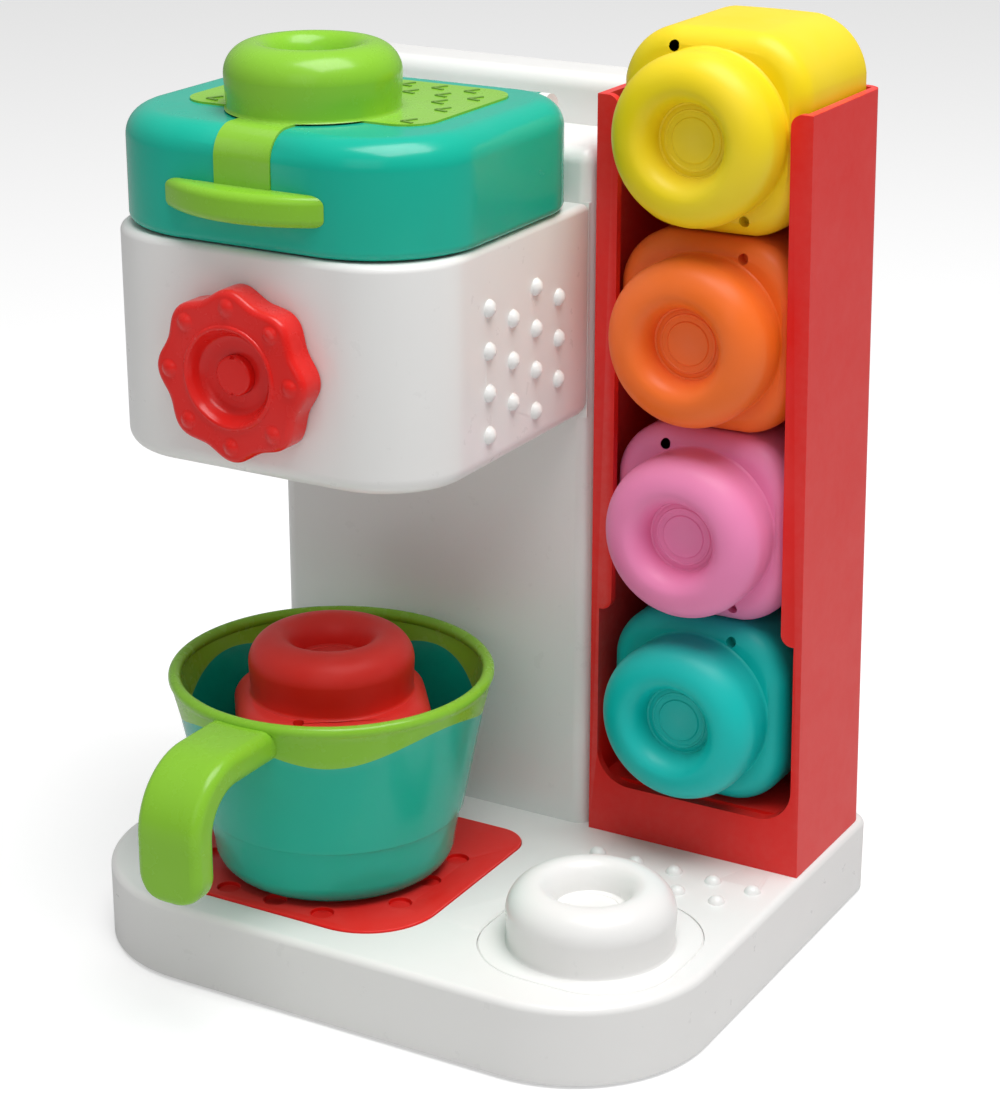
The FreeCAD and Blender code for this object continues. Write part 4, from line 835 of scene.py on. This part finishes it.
def make_panel_marks():
    """Low angle marks in rows on the lid's panel, left out under the ring."""
    centre = middle_of("lid_stud")
    top = low_of("lid_stud")[2]
    work = bmesh.new()
    for row in range(MARK_ROWS):
        for column in MARK_COLUMNS:
            across = (column + MARK_STAGGER * (row % 2)) * MARK_PITCH[0]
            back = row * MARK_PITCH[1] - MARK_FRONT
            if math.hypot(across, back) < RING_R + MARK_CLEAR or abs(across) > MARK_SIDE:
                continue
            start = np.array([centre[0] + across, centre[1] + back, top - MARK_SINK])
            for turn, length in MARK_STROKES:
                c, s = math.cos(math.radians(turn)), math.sin(math.radians(turn))
                along, side = np.array([c, s, 0]) * length, np.array([-s, c, 0]) * MARK_W / 2
                foot = np.array([start - side, start + along - side,
                                 start + along + side, start + side])
                roof = foot + np.array([0, 0, MARK_RISE + MARK_SINK])
                lower = [work.verts.new(corner * MM) for corner in foot]
                upper = [work.verts.new(corner * MM) for corner in roof]
                work.faces.new(lower[::-1])
                work.faces.new(upper)
                for i in range(4):
                    j = (i + 1) % 4
                    work.faces.new((lower[i], lower[j], upper[j], upper[i]))
    mesh = bpy.data.meshes.new("panel_marks")
    work.to_mesh(mesh)
    work.free()
    return dressed(placed_in_scene("panel_marks", mesh), mark_green(), "lid")


# Operators

class ToyColours(bpy.types.PropertyGroup):
    """Colours of the toy's mouldings."""
    white: FloatVectorProperty(name="White", description="Base, column and head", subtype="COLOR",
                               default=(0.86, 0.855, 0.84), min=0, max=1)
    red: FloatVectorProperty(name="Red", description="Rack, tray and dial", subtype="COLOR",
                             default=(0.80, 0.012, 0.008), min=0, max=1)
    teal: FloatVectorProperty(name="Teal", description="Lid and mug", subtype="COLOR",
                              default=(0.0, 0.45, 0.32), min=0, max=1)
    green: FloatVectorProperty(name="Green", description="Lid panel, lip and mug rim", subtype="COLOR",
                               default=(0.25, 0.56, 0.03), min=0, max=1)
    pod_red: FloatVectorProperty(name="Red pod", description="Pod in the mug", subtype="COLOR",
                                 default=(0.90, 0.030, 0.020), min=0, max=1)
    pod_teal: FloatVectorProperty(name="Teal pod", description="Lowest pod in the rack",
                                  subtype="COLOR", default=(0.0, 0.52, 0.48), min=0, max=1)
    pod_pink: FloatVectorProperty(name="Pink pod", description="Second pod in the rack",
                                  subtype="COLOR", default=(0.90, 0.26, 0.50), min=0, max=1)
    pod_orange: FloatVectorProperty(name="Orange pod", description="Third pod in the rack",
                                    subtype="COLOR", default=(0.95, 0.17, 0.02), min=0, max=1)
    pod_yellow: FloatVectorProperty(name="Yellow pod", description="Top pod in the rack",
                                    subtype="COLOR", default=(0.93, 0.70, 0.01), min=0, max=1)
    grey: FloatVectorProperty(name="Grey", description="Slider, crank and other inner pieces",
                              subtype="COLOR", default=(0.52, 0.53, 0.54), min=0, max=1)
    steel: FloatVectorProperty(name="Steel", description="Screws and hinge pins", subtype="COLOR",
                               default=(0.60, 0.60, 0.61), min=0, max=1)
    rubber: FloatVectorProperty(name="Foot rubber", description="Feet under the base", subtype="COLOR",
                                default=(0.22, 0.22, 0.23), min=0, max=1)


class ToySizes(bpy.types.PropertyGroup):
    """Small sizes of the dressing."""
    shell_edge: FloatProperty(name="Shell edge",
                              description="Rounding of the white shells' sharp edges",
                              default=0.5 * MM, min=0, unit="LENGTH")
    rack_edge: FloatProperty(name="Rack edge", description="Rounding of the rack's sheet edges",
                             default=0.7 * MM, min=0, unit="LENGTH")


class MAKER_OT_shells(bpy.types.Operator):
    """White base, column, back cover and head"""
    bl_idname = "maker.shells"
    bl_label = "White shells"

    def execute(self, context):
        edge = context.scene.maker_sizes.shell_edge / MM
        for node in ("base_shell", "tower_shell", "back_cover", "head_shell"):
            dressed(moulded(node, "white_" + node, edge), body_white(), "root")
        make_head_rim()
        make_base_ring()
        return {"FINISHED"}


class MAKER_OT_pods(bpy.types.Operator):
    """Five soft stacking pods"""
    bl_idname = "maker.pods"
    bl_label = "Stacking pods"

    def execute(self, context):
        make_pod("red", 1, "up", POD_IN_MUG_TURN)
        for colour, side in (("teal", 1), ("pink", -1), ("orange", 1), ("yellow", -1)):
            make_pod(colour, side, "front")
        return {"FINISHED"}


class MAKER_OT_lid(bpy.types.Operator):
    """Teal lid with its green panel, band, lip and stacking ring"""
    bl_idname = "maker.lid"
    bl_label = "Lid"

    def execute(self, context):
        dressed(moulded("lid_shell", "lid_cover", SMALL_EDGE), lid_teal(), "lid")
        dressed(moulded("lid_inlay", "lid_panel", SMALL_EDGE), bright_green(), "lid")
        make_lid_ring()
        make_panel_marks()
        return {"FINISHED"}


class MAKER_OT_dial(bpy.types.Operator):
    """Red eight-lobed dial"""
    bl_idname = "maker.dial"
    bl_label = "Dial"

    def execute(self, context):
        make_dial()
        dressed(moulded("dial_cap", "dial_plug", CAP_EDGE), dial_red(), "dial")
        return {"FINISHED"}


class MAKER_OT_rack(bpy.types.Operator):
    """Red rack and tray"""
    bl_idname = "maker.rack"
    bl_label = "Rack and tray"

    def execute(self, context):
        edge = context.scene.maker_sizes.rack_edge / MM
        dressed(moulded("pod_rack", "rack_box", edge), rack_red(), "root")
        dressed(moulded("drip_tray", "tray_plate", SMALL_EDGE), rack_red(), "root")
        return {"FINISHED"}


class MAKER_OT_mug(bpy.types.Operator):
    """Teal mug with its green rim and handle"""
    bl_idname = "maker.mug"
    bl_label = "Mug"

    def execute(self, context):
        make_bowl()
        make_collar()
        return {"FINISHED"}


class MAKER_OT_inside(bpy.types.Operator):
    """Chute, doors, gears, screws, feet and the plate under the base"""
    bl_idname = "maker.inside"
    bl_label = "Inner pieces"

    def execute(self, context):
        for node in ("chute", "base_plate", "drop_door_left", "drop_door_right"):
            skin_node(node, body_white())
        for node in ("detent_spring", "crank", "door_slider", "pinion_left", "pinion_right"):
            skin_node(node, inner_grey())
        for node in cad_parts:
            if node.endswith("_screws") or node in ("crank_screw", "hinge_pins"):
                skin_node(node, screw_steel())
        skin_node("rubber_feet", foot_rubber())
        return {"FINISHED"}


class MAKER_OT_stage(bpy.types.Operator):
    """Pale floor, soft lamps and the camera"""
    bl_idname = "maker.stage"
    bl_label = "Stage"

    def execute(self, context):
        make_floor()
        make_light()
        make_camera()
        return {"FINISHED"}


# Stage

def make_floor():
    """Wide square floor that glows a little to the camera only, so that it stays pale far away."""
    corners = [(x * FLOOR_HALF, y * FLOOR_HALF, 0) for x, y in ((-1, -1), (1, -1), (1, 1), (-1, 1))]
    mesh = bpy.data.meshes.new("floor")
    mesh.from_pydata(corners, [], [(0, 1, 2, 3)])
    floor = placed_in_scene("floor", mesh)
    material = bpy.data.materials.new("pale floor")
    material.use_nodes = True
    tree = material.node_tree
    shader = tree.nodes["Principled BSDF"]
    shader.inputs["Base Color"].default_value = (FLOOR_GREY, FLOOR_GREY, FLOOR_GREY, 1)
    shader.inputs["Roughness"].default_value = 0.9
    shader.inputs["Emission Color"].default_value = (1, 1, 1, 1)
    seen = node_in(tree, "ShaderNodeLightPath").outputs["Is Camera Ray"]
    tree.links.new(math_in(tree, "MULTIPLY", seen, FLOOR_GLOW), shader.inputs["Emission Strength"])
    mesh.materials.append(material)


def make_light():
    """White room, dimmer to everything but the camera, with a lamp overhead and one in front."""
    world = bpy.data.worlds.new("soft room")
    bpy.context.scene.world = world
    world.use_nodes = True
    tree = world.node_tree
    background = tree.nodes["Background"]
    path = node_in(tree, "ShaderNodeLightPath")
    seen = math_in(tree, "MAXIMUM", path.outputs["Is Camera Ray"], ROOM_LIGHT)
    background.inputs["Color"].default_value = (1, 1, 1, 1)
    tree.links.new(seen, background.inputs["Strength"])
    for name, place, size, power in LAMPS:
        lamp = bpy.data.lights.new(name, "AREA")
        lamp.shape = "SQUARE"
        lamp.size = size
        lamp.energy = power
        made = placed_in_scene(name, lamp)
        made.location = place
        aim = Vector(LAMP_AIM) - Vector(place)
        made.rotation_euler = aim.to_track_quat("-Z", "Y").to_euler()


def make_camera():
    """Camera that looks along its turn and tilt, with the photo's field of view."""
    lens = bpy.data.cameras.new("view")
    lens.sensor_width = SENSOR
    lens.lens = FOCAL_PIXELS / max(FRAME_PIXELS) * SENSOR
    camera = placed_in_scene("view", lens)
    camera.location = Vector(CAMERA_AT) * MM
    camera.rotation_euler = (math.radians(90 - CAMERA_TILT), 0, math.radians(CAMERA_TURN))
    bpy.context.scene.camera = camera
    bpy.context.scene.view_settings.view_transform = "Standard"


STEPS = (MAKER_OT_shells, MAKER_OT_rack, MAKER_OT_lid, MAKER_OT_dial, MAKER_OT_mug, MAKER_OT_pods,
         MAKER_OT_inside, MAKER_OT_stage)


class MAKER_PT_panel(bpy.types.Panel):
    """Lists the pieces of the coffee maker"""
    bl_idname = "MAKER_PT_panel"
    bl_label = "Toy coffee maker"
    bl_space_type = "VIEW_3D"
    bl_region_type = "UI"
    bl_category = "Coffee maker"

    def draw(self, context):
        for step in STEPS:
            self.layout.operator(step.bl_idname)
        for group in (context.scene.maker_colours, context.scene.maker_sizes):
            for name in group.__annotations__:
                self.layout.prop(group, name)


CLASSES = (ToyColours, ToySizes) + STEPS + (MAKER_PT_panel,)


def register():
    for made in CLASSES:
        bpy.utils.register_class(made)
    bpy.types.Scene.maker_colours = PointerProperty(type=ToyColours)
    bpy.types.Scene.maker_sizes = PointerProperty(type=ToySizes)


def unregister():
    del bpy.types.Scene.maker_colours
    del bpy.types.Scene.maker_sizes
    for made in reversed(CLASSES):
        bpy.utils.unregister_class(made)


def main():
    register()
    for step in STEPS:
        group, name = step.bl_idname.split(".")
        getattr(getattr(bpy.ops, group), name)()


if __name__ == "__main__":
    main()
